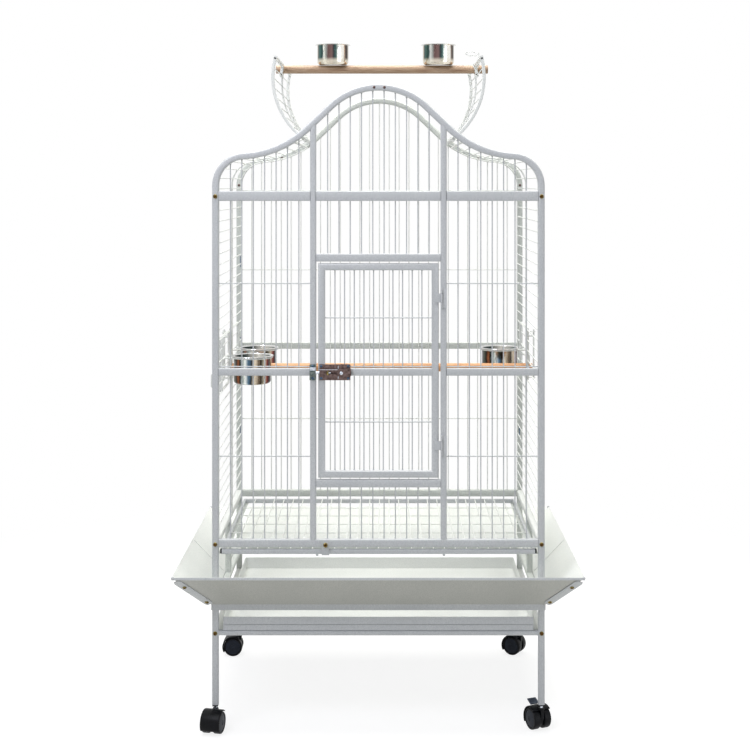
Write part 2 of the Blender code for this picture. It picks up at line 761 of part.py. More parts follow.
def bowl_ring(end, ring_z, door_middle):
    """Return the ring round a bowl, and the two arms that carry it from the door."""
    centre = bowl_centre(LEFT, end)
    inner = BOWL_RADIUS + RING_CLEARANCE
    place = (centre.x, centre.y, ring_z + RING_SECTION / 2)
    ring = tube_ring(place, (0, 0, 1), inner, inner + RING_SECTION, RING_SECTION, ROUND_SIDES)
    arms = []
    half = RING_SECTION / 2
    for shift in (-RING_ARM_SPREAD / 2, RING_ARM_SPREAD / 2):
        reach = centre.x - math.sqrt(BOWL_RADIUS ** 2 - shift ** 2) - half
        y = centre.y + shift
        arm_z = (ring_z + SHY, ring_z + RING_SECTION - SHY)
        arms.append(block((door_middle, reach), (y - half, y + half), arm_z))
    return [ring], arms


def feeder_pin(end):
    """Return a feeder door's hinge pin, and the necks that join it to the door."""
    axis = feeder_axis(LEFT, end)
    eye_low, eye_high = feeder_eye_heights()
    length = eye_high - eye_low + 2 * FEEDER_EYE_HEIGHT
    foot = (axis.x, axis.y, eye_low - FEEDER_EYE_HEIGHT)
    pin = cylinder(foot, (0, 0, 1), FEEDER_PIN_RADIUS, length, 8)
    half = FEEDER_ARM_HEIGHT / 2
    y_range = (axis.y, feeder_door_edges(end)[0] + end * FEEDER_FRAME / 2)
    necks = []
    for z in (eye_low + FEEDER_NECK_INSET, eye_high - FEEDER_NECK_INSET):
        necks.append(block((axis.x, feeder_door_plane()[1] - SHY), y_range, (z - half, z + half)))
    return [pin], necks


def feeder_pull(end):
    """Return the bent wire at a feeder door's free edge, by which it is opened."""
    far = feeder_door_edges(end)[1]
    y_range = (far - end * SHY, far - end * (FEEDER_FRAME - SHY))
    door_x = sum(feeder_door_plane()) / 2
    outer = feeder_door_plane()[0] - FEEDER_PULL_REACH
    low = feeder_heights()[0] + FEEDER_PULL_RISE
    high = low + FEEDER_PULL_HEIGHT
    levels = [(low + SHY, low + FEEDER_FRAME), (high - FEEDER_FRAME, high - SHY)]
    legs = [block((outer + SHY, door_x), y_range, z_range) for z_range in levels]
    bar = block((outer, outer + FEEDER_FRAME), (far, far - end * FEEDER_FRAME), (low, high))
    return legs, [bar]


def feeder_name(side, end):
    """Return the words that name a feeder's place."""
    return f"{END_NAMES[end]}_{SIDE_NAMES[side]}"


def bowl_centre(side, end):
    """Return the middle of a bowl, at floor height."""
    y = feeder_axis(side, end).y + end * BOWL_OFFSET
    return Vector((side * (HALF_WIDTH - BOWL_INSET), y, 0.0))


def steel_bowl(name, place, radius, rim_radius, height, material):
    """Turned steel bowl with a flat rim; place is the middle of its underside."""
    wall = BOWL_WALL
    bend = BOWL_BEND
    profile = [
        (0.0005, 0.0),
        (radius - bend, 0.0),
        (radius - bend * 0.3, bend * 0.3),
        (radius, bend),
        (radius, height - wall * 2),
        (rim_radius, height - wall * 2),
        (rim_radius, height),
        (radius - wall, height),
        (radius - wall, bend),
        (radius - bend, wall),
        (0.0005, wall),
    ]
    rings = turned(place, profile[1:-1], ROUND_SIDES)
    floor = filled_bowl(place, profile[1:-1], rings)
    return solid(name, [[floor]], material, smooth_below=math.radians(35))


def filled_bowl(place, profile, rings):
    """Close the middle of a turned bowl with a flat floor on each face."""
    points, faces = rings
    count = len(profile)
    sides = len(points) // count
    kept = [face for face in faces if not is_axis_face(face, count)]
    outer = tuple(index * count for index in reversed(range(sides)))
    inner = tuple(index * count + count - 1 for index in range(sides))
    return points, kept + [outer, inner]


def is_axis_face(face, count):
    """Tell whether a turned face joins the profile's last point to its first."""
    places = {index % count for index in face}
    return places == {0, count - 1}


def main_door(material):
    """Main door: five-piece tube frame, wires and the two hinge knuckles on its right edge."""
    half = DOORWAY_WIDTH / 2 - DOOR_SIDE_GAP
    low = DOORWAY_LOW + DOOR_END_GAP
    high = DOORWAY_HIGH - DOOR_END_GAP
    y_range = depth_range(FRONT, 0.0, TUBE)
    width = DOOR_FRAME_WIDTH
    stiles = [block((side * half, side * (half - width)), y_range, (low, high)) for side in (LEFT, RIGHT)]
    inner = half - width
    end_rails = [
        rail((-inner, inner), low, width, FRONT, TUBE - SHY),
        rail((-inner, inner), high - width, width, FRONT, TUBE - SHY),
    ]
    rails = [rail((-inner, inner), MIDDLE_RAIL_LOW, MIDDLE_RAIL_HEIGHT, FRONT)]
    rails += cross_wires((*DOOR_WIRE_HEIGHTS, MIDDLE_WIRE_HEIGHT), (-inner, inner), FRONT)
    pitch = 2 * inner / (DOOR_BAR_COUNT + 1)
    places = [-inner + pitch * (index + 1) for index in range(DOOR_BAR_COUNT)]
    bars = upright_bars(places, low + width, FRONT, high - width)
    axis = door_axis()
    knuckles = []
    leaves = []
    pads = []
    for height in HINGE_HEIGHTS:
        bore = HINGE_PIN_RADIUS + SLIDE_GAP
        length = HINGE_LENGTH / 2 - SLIDE_GAP
        place = (axis.x, axis.y, height)
        knuckles.append(tube_ring(place, (0, 0, 1), bore, HINGE_KNUCKLE_RADIUS, length))
        quarter = HINGE_LENGTH / 4 - SLIDE_GAP * 2
        leaf_y = (axis.y + SHY, -HALF_DEPTH - SHY)
        leaf_z = (height - quarter, height + quarter)
        leaves.append(block((half - HINGE_LEAF_REACH, axis.x - bore - SHY), leaf_y, leaf_z))
        pad_x = (half - HINGE_LEAF_REACH + SHY, half - SHY)
        pad_y = (leaf_y[0] + SHY, -HALF_DEPTH + SHY)
        pads.append(block(pad_x, pad_y, (leaf_z[0] + SHY, leaf_z[1] - SHY)))
    return solid("main_door", [stiles, end_rails, rails, bars, pads, leaves, knuckles], material)


def door_axis():
    """Return a point on the main door's hinge axis."""
    x = DOORWAY_WIDTH / 2 + HINGE_KNUCKLE_RADIUS
    return Vector((x, -HALF_DEPTH - HINGE_KNUCKLE_RADIUS + HINGE_SUNK, 0.0))


def door_hinge(name, height, material):
    """Fixed half of a door hinge: leaf on the post, two knuckles and the pin."""
    axis = door_axis()
    quarter = HINGE_LENGTH / 4
    leaf_y = (-HALF_DEPTH - SEAT_GAP, -HALF_DEPTH - SEAT_GAP - HINGE_LEAF_THICKNESS)
    leaf_x = (axis.x + HINGE_KNUCKLE_RADIUS + SLIDE_GAP, axis.x + HINGE_KNUCKLE_RADIUS + HINGE_LEAF_REACH)
    leaf = block(leaf_x, leaf_y, (height - HINGE_LENGTH / 2, height + HINGE_LENGTH / 2))
    knuckles = []
    necks = []
    for sign in (-1, 1):
        base = height + sign * (quarter + SLIDE_GAP)
        lower = min(base, height + sign * HINGE_LENGTH / 2)
        length = quarter - SLIDE_GAP
        place = (axis.x, axis.y - 2 * HINGE_SUNK, lower)
        knuckles.append(cylinder(place, (0, 0, 1), HINGE_KNUCKLE_RADIUS - HINGE_SUNK, length, 8))
        neck_x = (axis.x, leaf_x[0] + HINGE_LEAF_THICKNESS)
        neck_y = (leaf_y[0] - HINGE_SUNK, leaf_y[1] + HINGE_SUNK)
        necks.append(block(neck_x, neck_y, (lower + SLIDE_GAP, lower + length - SLIDE_GAP)))
    foot = (axis.x, axis.y, height - HINGE_LENGTH / 2 + SLIDE_GAP * 2)
    pin = [cylinder(foot, (0, 0, 1), HINGE_PIN_RADIUS, HINGE_LENGTH - SLIDE_GAP * 4, 8)]
    return solid(name, [[leaf], necks, knuckles, pin], material)


def latch_frame():
    """Return the latch plate's left edge, its right edge, and the Y of its back face."""
    left = -DOORWAY_WIDTH / 2 + DOOR_SIDE_GAP + LATCH_LEFT_OVERHANG
    return left, left + LATCH_PLATE_SIZE[0], -HALF_DEPTH - SEAT_GAP


def bolt_axis():
    """Return the bolt's height and Y."""
    _, _, back = latch_frame()
    return LATCH_CENTRE_HEIGHT, back - LATCH_PLATE_THICKNESS - LATCH_CASE_DEPTH / 2


def latch_case(material):
    """Latch on the door: a plate with a raised case, bored for the bolt and slotted for its knob."""
    left, right, back = latch_frame()
    z, y = bolt_axis()
    half_plate = LATCH_PLATE_SIZE[1] / 2
    half_case = LATCH_CASE_HEIGHT / 2
    front = back - LATCH_PLATE_THICKNESS
    plate = block((left, right), (back, front), (z - half_plate, z + half_plate))
    case_x = (left + LATCH_CASE_INSET, right + LATCH_CASE_OVERHANG)
    case_y = (front + LATCH_CASE_INSET, front - LATCH_CASE_DEPTH)
    case = block(case_x, case_y, (z - half_case, z + half_case))
    bore_length = BOLT_LENGTH + BOLT_TRAVEL + SLIDE_GAP
    bore = cylinder((left - WELD, y, z), (1, 0, 0), BOLT_RADIUS + SLIDE_GAP, bore_length, 12)
    knob = knob_place()
    slot_half = KNOB_RADIUS / 2 + SLIDE_GAP
    slot_x = (knob - slot_half - SLIDE_GAP, knob + slot_half + BOLT_TRAVEL + SLIDE_GAP)
    slot = block(slot_x, (y, case_y[1] - WELD), (z - slot_half, z + slot_half))
    return solid("latch_case", [[plate], [case]], material, [[bore], [slot]])


def knob_place():
    """Return the X of the bolt's knob when the latch is shut."""
    return latch_frame()[0] + KNOB_SETBACK


def latch_bolt(material):
    """Sliding bolt with its knob."""
    left, _, _ = latch_frame()
    z, y = bolt_axis()
    tip = left - BOLT_REACH - DOOR_SIDE_GAP - LATCH_LEFT_OVERHANG
    rod = cylinder((tip, y, z), (1, 0, 0), BOLT_RADIUS, BOLT_LENGTH, 12)
    knob = knob_place()
    face = LATCH_CASE_DEPTH / 2
    stem = cylinder((knob, y, z), (0, -1, 0), KNOB_RADIUS / 2, face + 2 * WELD, 12)
    head = cylinder((knob, y - face - 2 * SLIDE_GAP, z), (0, -1, 0), KNOB_RADIUS, KNOB_LENGTH, 12)
    return solid("latch_bolt", [[rod], [stem], [head]], material, smooth_below=math.radians(40))


def latch_keeper(material):
    """Keeper on the inner left post: a block that the bolt's tip enters."""
    z, y = bolt_axis()
    right = -INNER_POST_INNER - 2 * SHY
    left = right - KEEPER_WIDTH
    back = -HALF_DEPTH - SEAT_GAP
    front = back - LATCH_PLATE_THICKNESS
    half = LATCH_PLATE_SIZE[1] / 2
    plate = block((left, right), (back, front), (z - half, z + half))
    half_case = LATCH_CASE_HEIGHT / 2
    case_y = (front + LATCH_CASE_INSET, front - LATCH_CASE_DEPTH)
    case = block((left + LATCH_CASE_OVERHANG, right - SHY), case_y, (z - half_case, z + half_case))
    bore = cylinder((right + WELD, y, z), (-1, 0, 0), BOLT_RADIUS + SLIDE_GAP, WELD + BOLT_REACH, 12)
    return solid("latch_keeper", [[plate], [case]], material, [[bore]])


def roof_frame():
    """Return the centre of the closed roof arc, and the angles of its hinge and its tip."""
    tip_x = ROOF_MEETING_GAP / 2
    reach = ROOF_HINGE_X - tip_x
    drop = math.sqrt(ROOF_RADIUS ** 2 - reach ** 2)
    centre = Vector((-tip_x, ROOF_HINGE_Z - drop))
    start = math.pi / 2 + math.acos(drop / ROOF_RADIUS)
    return centre, start, math.pi / 2


def roof_point(share, radius=ROOF_RADIUS):
    """Return (x, z) on the closed left roof arc, from its hinge at 0 to its tip at 1."""
    centre, start, stop = roof_frame()
    angle = start + (stop - start) * share
    return centre.x + radius * math.cos(angle), centre.y + radius * math.sin(angle)


def roof_band(inner, outer, y_range, stop=1.0, steps=10):
    """Return a curved bar of the closed roof between two radii."""
    y_low, y_high = sorted(y_range)
    rings = []
    for step in range(steps + 1):
        x_in, z_in = roof_point(stop * step / steps, inner)
        x_out, z_out = roof_point(stop * step / steps, outer)
        outside = [(x_out, y_low, z_out), (x_out, y_high, z_out)]
        rings.append(outside + [(x_in, y_high, z_in), (x_in, y_low, z_in)])
    return loft(rings)


def roof_half(side, material):
    """Half of the opening roof, with a cradle in the middle of its top rail for the play perch."""
    end_y = HALF_DEPTH - TUBE - ROOF_END_GAP
    half = ROOF_RAIL / 2
    hinge_end = (-ROOF_HINGE_X, -end_y + WELD, ROOF_HINGE_Z)
    hinge_length = 2 * (end_y - WELD)
    hinge = [cylinder(hinge_end, (0, 1, 0), ROOF_HINGE_ROD_RADIUS, hinge_length, 8, math.pi / 8)]
    bands = []
    for sign in (-1, 1):
        y_range = (sign * end_y, sign * (end_y - ROOF_SIDE_RAIL))
        bands.append(roof_band(ROOF_RADIUS - half + SHY, ROOF_RADIUS + half - SHY, y_range))
    cradle_share = (ROOF_ROD_SPACES - 1) / ROOF_ROD_SPACES
    tip_x, tip_z = roof_point(1.0)
    low_x, low_z = roof_point(cradle_share)
    cradle_half = CRADLE_WIDTH / 2
    post = ROOF_SIDE_RAIL
    top_rails = []
    cheeks = []
    for sign in (-1, 1):
        y_range = (sign * cradle_half, sign * (end_y - SHY))
        top_rails.append(block((tip_x - half, tip_x + half), y_range, (tip_z - half, tip_z + half)))
        cheek_y = (sign * cradle_half, sign * (cradle_half + post))
        cheeks.append(loft([
            [(x, y, z + drop) for x, z, drop in (
                (low_x, low_z, -half + SHY), (tip_x, tip_z, -half + SHY),
                (tip_x, tip_z, half - SHY), (low_x, low_z, half - SHY))]
            for y in cheek_y]))
    cradle = [block((low_x - half, low_x + half), (-cradle_half - post, cradle_half + post),
                    (low_z - half, low_z + half))]
    spread_y = ROOF_MIDDLE_HOOP_SPREAD / 2
    hoop_outer = ROOF_RADIUS - WIRE / 2 - ROOF_HOOP_GAP
    hoops = []
    for y in (-spread_y, spread_y):
        y_range = (y - WIRE / 2, y + WIRE / 2)
        hoops.append(roof_band(hoop_outer - ROOF_HOOP_THICKNESS, hoop_outer, y_range, cradle_share))
    rods = []
    rod_y = (-end_y + ROOF_SIDE_RAIL - WELD, end_y - ROOF_SIDE_RAIL + WELD)
    for index in range(1, ROOF_ROD_SPACES):
        x, z = roof_point(index / ROOF_ROD_SPACES)
        spans = [rod_y]
        if index == ROOF_ROD_SPACES - 1:
            spans = [(rod_y[0], -cradle_half - post + WELD), (cradle_half + post - WELD, rod_y[1])]
        for span in spans:
            rods.append(block((x - WIRE / 2, x + WIRE / 2), span, (z - WIRE / 2, z + WIRE / 2)))
    opened = about((-ROOF_HINGE_X, 0, ROOF_HINGE_Z), "Y", -ROOF_OPEN_ANGLE)
    mirror = Matrix.Scale(side * LEFT, 4, (1, 0, 0))
    groups = [hinge, bands, top_rails, cheeks, cradle, hoops, rods]
    groups = [[moved(shape, mirror @ opened) for shape in group] for group in groups]
    return solid(f"roof_{SIDE_NAMES[side]}", groups, material)


def roof_open_point(side, share):
    """Return where a point of the roof arc lies with the roof open."""
    x, z = roof_point(share)
    place = about((-ROOF_HINGE_X, 0, ROOF_HINGE_Z), "Y", -ROOF_OPEN_ANGLE) @ Vector((x, 0, z))
    return Vector((place.x * side * LEFT, 0.0, place.z))


def roof_hook(material):
    """Wire hook that turns on the right half's top rail and drops over the left one."""
    centre = roof_open_point(RIGHT, 1.0) + Vector((0, HOOK_PLACE, 0))
    eye = tube_ring(centre, (0, 1, 0), HOOK_EYE_RADIUS, HOOK_EYE_RADIUS + WIRE * 0.8, WIRE, 12)
    half = WIRE / 2
    y_range = (centre.y - half + 0.0002, centre.y + half - 0.0002)
    stem_x = centre.x + HOOK_EYE_RADIUS + WIRE * 0.4
    stem_top = centre.z + HOOK_STEM
    stem = block((stem_x - half, stem_x + half), y_range, (centre.z, stem_top))
    reach = HOOK_LOOP_HEIGHT / 2
    loop_right = stem_x - reach + half
    loop_left = loop_right - HOOK_LOOP_LENGTH + HOOK_LOOP_HEIGHT
    rings = []
    for index in range(16):
        angle = math.tau * (index + 0.5) / 16
        shift = loop_right if math.cos(angle) > 0 else loop_left
        spoke = Vector((math.cos(angle), 0, math.sin(angle)))
        base = Vector((shift, 0, stem_top))
        ring = []
        for radius, y in ((reach - WIRE, -half), (reach, -half), (reach, half), (reach - WIRE, half)):
            point = base + spoke * radius
            ring.append((point.x, centre.y + y, point.z))
        rings.append(ring)
    loop = loft(rings, closed=True)
    return solid("roof_hook", [[eye], [stem], [loop]], material)


def play_perch(material):
    """Wooden dowel across the open roof halves."""
    left, right = PLAY_PERCH_ENDS
    place = (left, 0.0, perch_height())
    dowel = cylinder(place, (1, 0, 0), PERCH_RADIUS, right - left, 20, math.pi / 2)
    return solid("play_perch", [[dowel]], material, smooth_below=math.radians(40))


def perch_height():
    """Return the height of the play perch's axis, as it lies in the two cradles."""
    cradle = roof_open_point(LEFT, (ROOF_ROD_SPACES - 1) / ROOF_ROD_SPACES)
    turn = ROOF_OPEN_ANGLE
    top = cradle.z + ROOF_RAIL / 2 * (math.sin(turn) + math.cos(turn))
    return top + SEAT_GAP + PERCH_RADIUS


def inner_perch(material):
    """Wooden dowel across the inside of the cage, with its end button outside the right panel."""
    wall = HALF_WIDTH - SIDE_ROD_INSET
    reach = wall - FEEDER_FRAME / 2 - SEAT_GAP
    dowel = cylinder((-reach, 0.0, INNER_PERCH_HEIGHT), (1, 0, 0), PERCH_RADIUS, 2 * reach, 20)
    button_x = wall + WIRE * 1.5 + SEAT_GAP * 4
    button_place = (button_x, 0.0, INNER_PERCH_HEIGHT)
    button = cylinder(button_place, (1, 0, 0), PERCH_RADIUS, PERCH_BUTTON_LENGTH, 20)
    neck_place = (reach - WELD, 0.0, INNER_PERCH_HEIGHT)
    neck = cylinder(neck_place, (1, 0, 0), PERCH_NECK_RADIUS, button_x - reach + 2 * WELD, 12)
    return solid("inner_perch", [[dowel], [button], [neck]], material, smooth_below=math.radians(40))


def stand_end(end, material):
    """Front or back of the stand: two legs and two rails."""
    legs = []
    for side in (LEFT, RIGHT):
        legs.append(block((side * HALF_WIDTH, side * POST_INNER), depth_range(end, 0.0, TUBE),
                          (LEG_BOTTOM, CAGE_FLOOR - SEAT_GAP)))
    across = (-POST_INNER, POST_INNER)
    rails = [
        rail(across, STAND_RAIL_LOW, STAND_RAIL_HEIGHT, end, TUBE - SHY),
        rail(across, TRAY_RAIL_LOW, TRAY_RAIL_HEIGHT, end, TUBE - SHY),
    ]
    sockets = []
    for side in (LEFT, RIGHT):
        place = leg_centre(side, end)
        sockets.append(cylinder((place.x, place.y, LEG_BOTTOM - 0.001), (0, 0, 1), STEM_RADIUS + SLIDE_GAP,
                                STEM_LENGTH + 0.003, 12))
    cuts = [sockets]
    if end == FRONT:
        cuts.append(screw_cutters(FRONT, SCREW_HEIGHTS[:1]))
    return solid(f"stand_{END_NAMES[end]}", [legs, rails], material, cuts)


def leg_centre(side, end):
    """Return the middle of a leg, at floor height."""
    return Vector((side * (HALF_WIDTH - TUBE / 2), end * (HALF_DEPTH - TUBE / 2), 0.0))


def stand_side(side, material):
    """Side of the stand: rail, short middle post under the cage, and the ledge for the grate."""
    y_range = (-HALF_DEPTH + TUBE + SEAT_GAP, HALF_DEPTH - TUBE - SEAT_GAP)
    x_range = (side * HALF_WIDTH, side * POST_INNER)
    top = STAND_RAIL_LOW + STAND_RAIL_HEIGHT
    beam = block(x_range, y_range, (STAND_RAIL_LOW, top))
    inset_x = (side * (HALF_WIDTH - SHY), side * (POST_INNER + SHY))
    post = block(inset_x, (-TUBE / 2, TUBE / 2), (top - WELD, CAGE_FLOOR - SEAT_GAP))
    ledge_top = GRATE_LOW - SEAT_GAP
    ledge_x = (side * (POST_INNER + WELD), side * (POST_INNER - LEDGE_WIDTH))
    ledge = block(ledge_x, y_range, (ledge_top - LEDGE_THICKNESS, ledge_top))
    return solid(f"stand_{SIDE_NAMES[side]}", [[beam], [post], [ledge]], material)


def tray_rail(side, material):
    """Lower side rail of the stand, with the ledge that the tray slides on."""
    y_range = (-HALF_DEPTH + TUBE + SEAT_GAP, HALF_DEPTH - TUBE - SEAT_GAP)
    top = TRAY_RAIL_LOW + TRAY_RAIL_HEIGHT
    beam = block((side * HALF_WIDTH, side * POST_INNER), y_range, (TRAY_RAIL_LOW, top))
    ledge_x = (side * (POST_INNER + WELD), side * (POST_INNER - LEDGE_WIDTH))
    ledge = block(ledge_x, (y_range[0] + SHY, y_range[1] - SHY), (top - LEDGE_THICKNESS - SHY, top - SHY))
    return solid(f"tray_rail_{SIDE_NAMES[side]}", [[beam], [ledge]], material)


def guard_underside(out):
    """Return the height of the guards' lower face at a distance out from the stand."""
    fold = STAND_RAIL_LOW + STAND_RAIL_HEIGHT
    rise = (GUARD_RIM_HEIGHT - fold) / (GUARD_REACH - SEAT_GAP)
    return fold + (out - SEAT_GAP) * rise - SHEET * math.hypot(1.0, rise)


def guard_profile():
    """Return the section of a guard as (distance out, height): flange, sloping sheet and lip."""
    low = STAND_RAIL_LOW + SHY
    fold = STAND_RAIL_LOW + STAND_RAIL_HEIGHT
    flange = SEAT_GAP + SHEET
    lip = GUARD_REACH - SHEET
    return [
        (SEAT_GAP, low),
        (flange, low),
        (flange, guard_underside(flange)),
        (lip, guard_underside(lip)),
        (lip, GUARD_RIM_HEIGHT - GUARD_LIP),
        (GUARD_REACH, GUARD_RIM_HEIGHT - GUARD_LIP),
        (GUARD_REACH, GUARD_RIM_HEIGHT),
        (SEAT_GAP, fold),
    ]


def guard(name, half_length, distance, axis, sign, material):
    """Seed guard: a folded sheet along one face of the stand, mitred at both ends."""
    rings = []
    for end in (-1, 1):
        ring = []
        for out, height in guard_profile():
            along = end * (half_length + out - SEAT_GAP)
            across = sign * (distance + out)
            ring.append((along, across, height) if axis == "X" else (across, along, height))
        rings.append(ring)
    return solid(name, [[loft(rings)]], material)


def guard_bracket(side, end, material):
    """Flat corner strap, bolted under the front or back guard along its mitre."""
    rise = (guard_underside(GUARD_REACH) - guard_underside(0.0)) / GUARD_REACH
    along = Vector((1.0, 1.0, rise)).normalized()
    outward = Vector((0.0, rise, -1.0)).normalized()
    across = along.cross(outward)
    half = BRACKET_WIDTH / 2
    rings = []
    for out in (BRACKET_FROM, BRACKET_TO):
        place = mitre_point(out) + outward * SEAT_GAP
        inner = [place - across * half, place + across * half]
        rings.append(inner + [point + outward * BRACKET_THICKNESS for point in reversed(inner)])
    strap = loft(rings)
    heads = []
    for out in BRACKET_BOLTS:
        place = mitre_point(out) + outward * (SEAT_GAP + BRACKET_THICKNESS / 2)
        length = SCREW_HEAD_HEIGHT + BRACKET_THICKNESS / 2
        heads.append(cylinder(place, outward, SCREW_HEAD_RADIUS, length, 8))
    mirror = Matrix.Diagonal((side, end, 1, 1))
    name = f"guard_bracket_{END_NAMES[end]}_{SIDE_NAMES[side]}"
    groups = [[moved(strap, mirror)], [moved(head, mirror) for head in heads]]
    return solid(name, groups, material)


def mitre_point(out):
    """Return the point under a corner's guards where they meet, at a distance out from the stand."""
    return Vector((HALF_WIDTH + out, HALF_DEPTH + out, guard_underside(out)))


def grate(material):
    """Floor grate: bar frame, wires from front to back, cross rods and the tab for its screw."""
    half = POST_INNER - GRATE_SIDE_GAP
    front = -HALF_DEPTH + GRATE_END_GAP
    back = HALF_DEPTH - TUBE - GRATE_END_GAP
    top = GRATE_LOW + GRATE_BAR_HEIGHT
    ends = [
        block((-half, half), (front, front + GRATE_FRONT_BAR), (GRATE_LOW, top)),
        block((-half, half), (back - GRATE_BAR, back), (GRATE_LOW, top)),
    ]
    side_y = (front + GRATE_BAR, back - SHY)
    side_z = (GRATE_LOW + SHY, top - SHY)
    side_x = (half - SHY, half - GRATE_BAR)
    sides = [block((side * side_x[0], side * side_x[1]), side_y, side_z) for side in (LEFT, RIGHT)]
    wire_top = top - 2 * SHY
    wire_z = (wire_top - WIRE, wire_top)
    wire_y = (front + GRATE_FRONT_BAR - WELD, back - GRATE_BAR + WELD)
    inner = half - GRATE_BAR
    wires = [block((x - WIRE / 2, x + WIRE / 2), wire_y, wire_z) for x in spread(-inner, inner, SIDE_PITCH)]
    rod_x = (-inner - WELD, inner + WELD)
    rod_z = (wire_z[0] - WIRE - SEAT_GAP, wire_z[0] - SEAT_GAP)
    places = spread(front, back, CAGE_DEPTH / (GRATE_CROSS_RODS + 1))
    rods = [block(rod_x, (y - WIRE / 2, y + WIRE / 2), rod_z) for y in places]
    tab, hole = grate_tab(front)
    return solid("grate", [ends, sides, wires, rods, *tab], material, [[hole]])


def grate_tab(front):
    """Return the grate's front tab with its foot, and the cutter for its screw hole."""
    x_range = (GRATE_TAB_X - GRATE_TAB_WIDTH / 2, GRATE_TAB_X + GRATE_TAB_WIDTH / 2)
    near = -HALF_DEPTH - SEAT_GAP * 2
    y_range = (near - LEDGE_THICKNESS, near)
    tab = block(x_range, y_range, (GRATE_LOW - WELD, GRATE_TAB_TOP))
    foot_x = (x_range[0] + SHY, x_range[1] - SHY)
    foot_y = (y_range[0] + SHY, front + WELD)
    foot = block(foot_x, foot_y, (GRATE_LOW + SHY, GRATE_LOW + GRATE_TAB_FOOT))
    mouth = (GRATE_TAB_X, y_range[0] - WELD, SCREW_HEIGHTS[1])
    hole = cylinder(mouth, (0, 1, 0), SCREW_SHANK_RADIUS + SLIDE_GAP, LEDGE_THICKNESS + 3 * WELD, 8)
    return ([tab], [foot]), hole


def thumb_screw(material):
    """Brass thumb screw in the grate's tab."""
    face = -HALF_DEPTH - SEAT_GAP * 3 - LEDGE_THICKNESS
    place = (GRATE_TAB_X, face, SCREW_HEIGHTS[1])
    head = cylinder(place, (0, -1, 0), THUMB_SCREW_RADIUS, THUMB_SCREW_LENGTH, 12)
    root = (GRATE_TAB_X, face - WELD, SCREW_HEIGHTS[1])
    shank = cylinder(root, (0, 1, 0), SCREW_SHANK_RADIUS, WELD + LEDGE_THICKNESS + SEAT_GAP, 8)
    return solid("thumb_screw", [[head], [shank]], material, smooth_below=math.radians(40))


def tray(material):
    """Slide-out tray under the grate, open at the top."""
    low = TRAY_RAIL_LOW + TRAY_RAIL_HEIGHT + SEAT_GAP
    front = -HALF_DEPTH + TRAY_FRONT_SETBACK
    back = HALF_DEPTH - TRAY_BACK_SETBACK
    half = TRAY_HALF_WIDTH
    top = low + TRAY_HEIGHT
    outer = block((-half, half), (front, back), (low, top))
    wall = TRAY_WALL
    hollow = block((-half + wall, half - wall), (front + wall * 2, back - wall), (low + wall, top + WELD))
    groove_z = (low + TRAY_GROOVE[0], low + TRAY_GROOVE[1])
    groove = block((-half - WELD, half + WELD), (front - WELD, front + wall), groove_z)
    return solid("tray", [[outer]], material, [[hollow], [groove]])


def frame_screw(side, height, number, material):
    """Frame screw in a front post: domed head and shank."""
    x = side * (HALF_WIDTH - TUBE / 2)
    face = -HALF_DEPTH - SEAT_GAP
    shank = cylinder((x, face - WELD, height), (0, 1, 0), SCREW_SHANK_RADIUS, SCREW_LENGTH - WELD, 8)
    rings = []
    top_radius = SCREW_HEAD_RADIUS * SCREW_HEAD_TOP_SHARE
    levels = ((SCREW_HEAD_RADIUS, 0.0), (SCREW_HEAD_RADIUS, SCREW_HEAD_EDGE),
              (top_radius, SCREW_HEAD_HEIGHT))
    for radius, rise in levels:
        ring = []
        for index in range(12):
            angle = math.tau * index / 12
            ring.append((x + radius * math.cos(angle), face - rise, height + radius * math.sin(angle)))
        rings.append(ring)
    return solid(f"frame_screw_{number}", [[loft(rings)], [shank]], material, smooth_below=math.radians(50))


def caster_frame(side, end, heading):
    """Return where a caster stands, turned to its heading, and the middle of its axle."""
    place = Matrix.Translation(leg_centre(side, end)) @ Matrix.Rotation(heading, 4, "Z")
    return place, Vector((0.0, CASTER_TRAIL, WHEEL_RADIUS))


def caster_housing(name, place, centre, material):
    """Housing of a twin-wheel caster: web, hood over the trailing side, boss and stem."""
    half_web = Vector((WEB_THICKNESS / 2, 0, 0))
    web = cylinder(centre - half_web, (1, 0, 0), WEB_RADIUS, WEB_THICKNESS, 16)
    inner = WHEEL_RADIUS + FENDER_GAP
    outer = inner + FENDER_THICKNESS
    half = CASTER_WIDTH / 2
    rings = []
    for step in range(FENDER_STEPS + 1):
        angle = FENDER_FROM + (FENDER_TO - FENDER_FROM) * step / FENDER_STEPS
        spoke = Vector((0, math.cos(angle), math.sin(angle)))
        edges = ((inner, -half), (outer, -half), (outer, half), (inner, half))
        rings.append([centre + spoke * radius + Vector((x, 0, 0)) for radius, x in edges])
    hood = loft(rings)
    hood_base = 2 * WHEEL_RADIUS + FENDER_GAP
    neck_x = (SHY - WEB_THICKNESS / 2, WEB_THICKNESS / 2 - SHY)
    neck = block(neck_x, (-BOSS_RADIUS + WELD, CASTER_TRAIL + BOSS_RADIUS), (WHEEL_RADIUS, hood_base + WELD))
    boss_low = 2 * WHEEL_RADIUS + SEAT_GAP
    boss = cylinder((0, 0, boss_low), (0, 0, 1), BOSS_RADIUS, BOSS_TOP - boss_low, 12)
    stem_low = boss_low + WELD
    stem = cylinder((0, 0, stem_low), (0, 0, 1), STEM_RADIUS, LEG_BOTTOM + STEM_LENGTH - stem_low, 10)
    bore = cylinder(centre - half_web * 4, (1, 0, 0), AXLE_RADIUS + SLIDE_GAP, 4 * WEB_THICKNESS, 10)
    groups = [[moved(shape, place)] for shape in (web, neck, hood, boss, stem)]
    return solid(f"caster_housing_{name}", groups, material, [[moved(bore, place)]], math.radians(40))


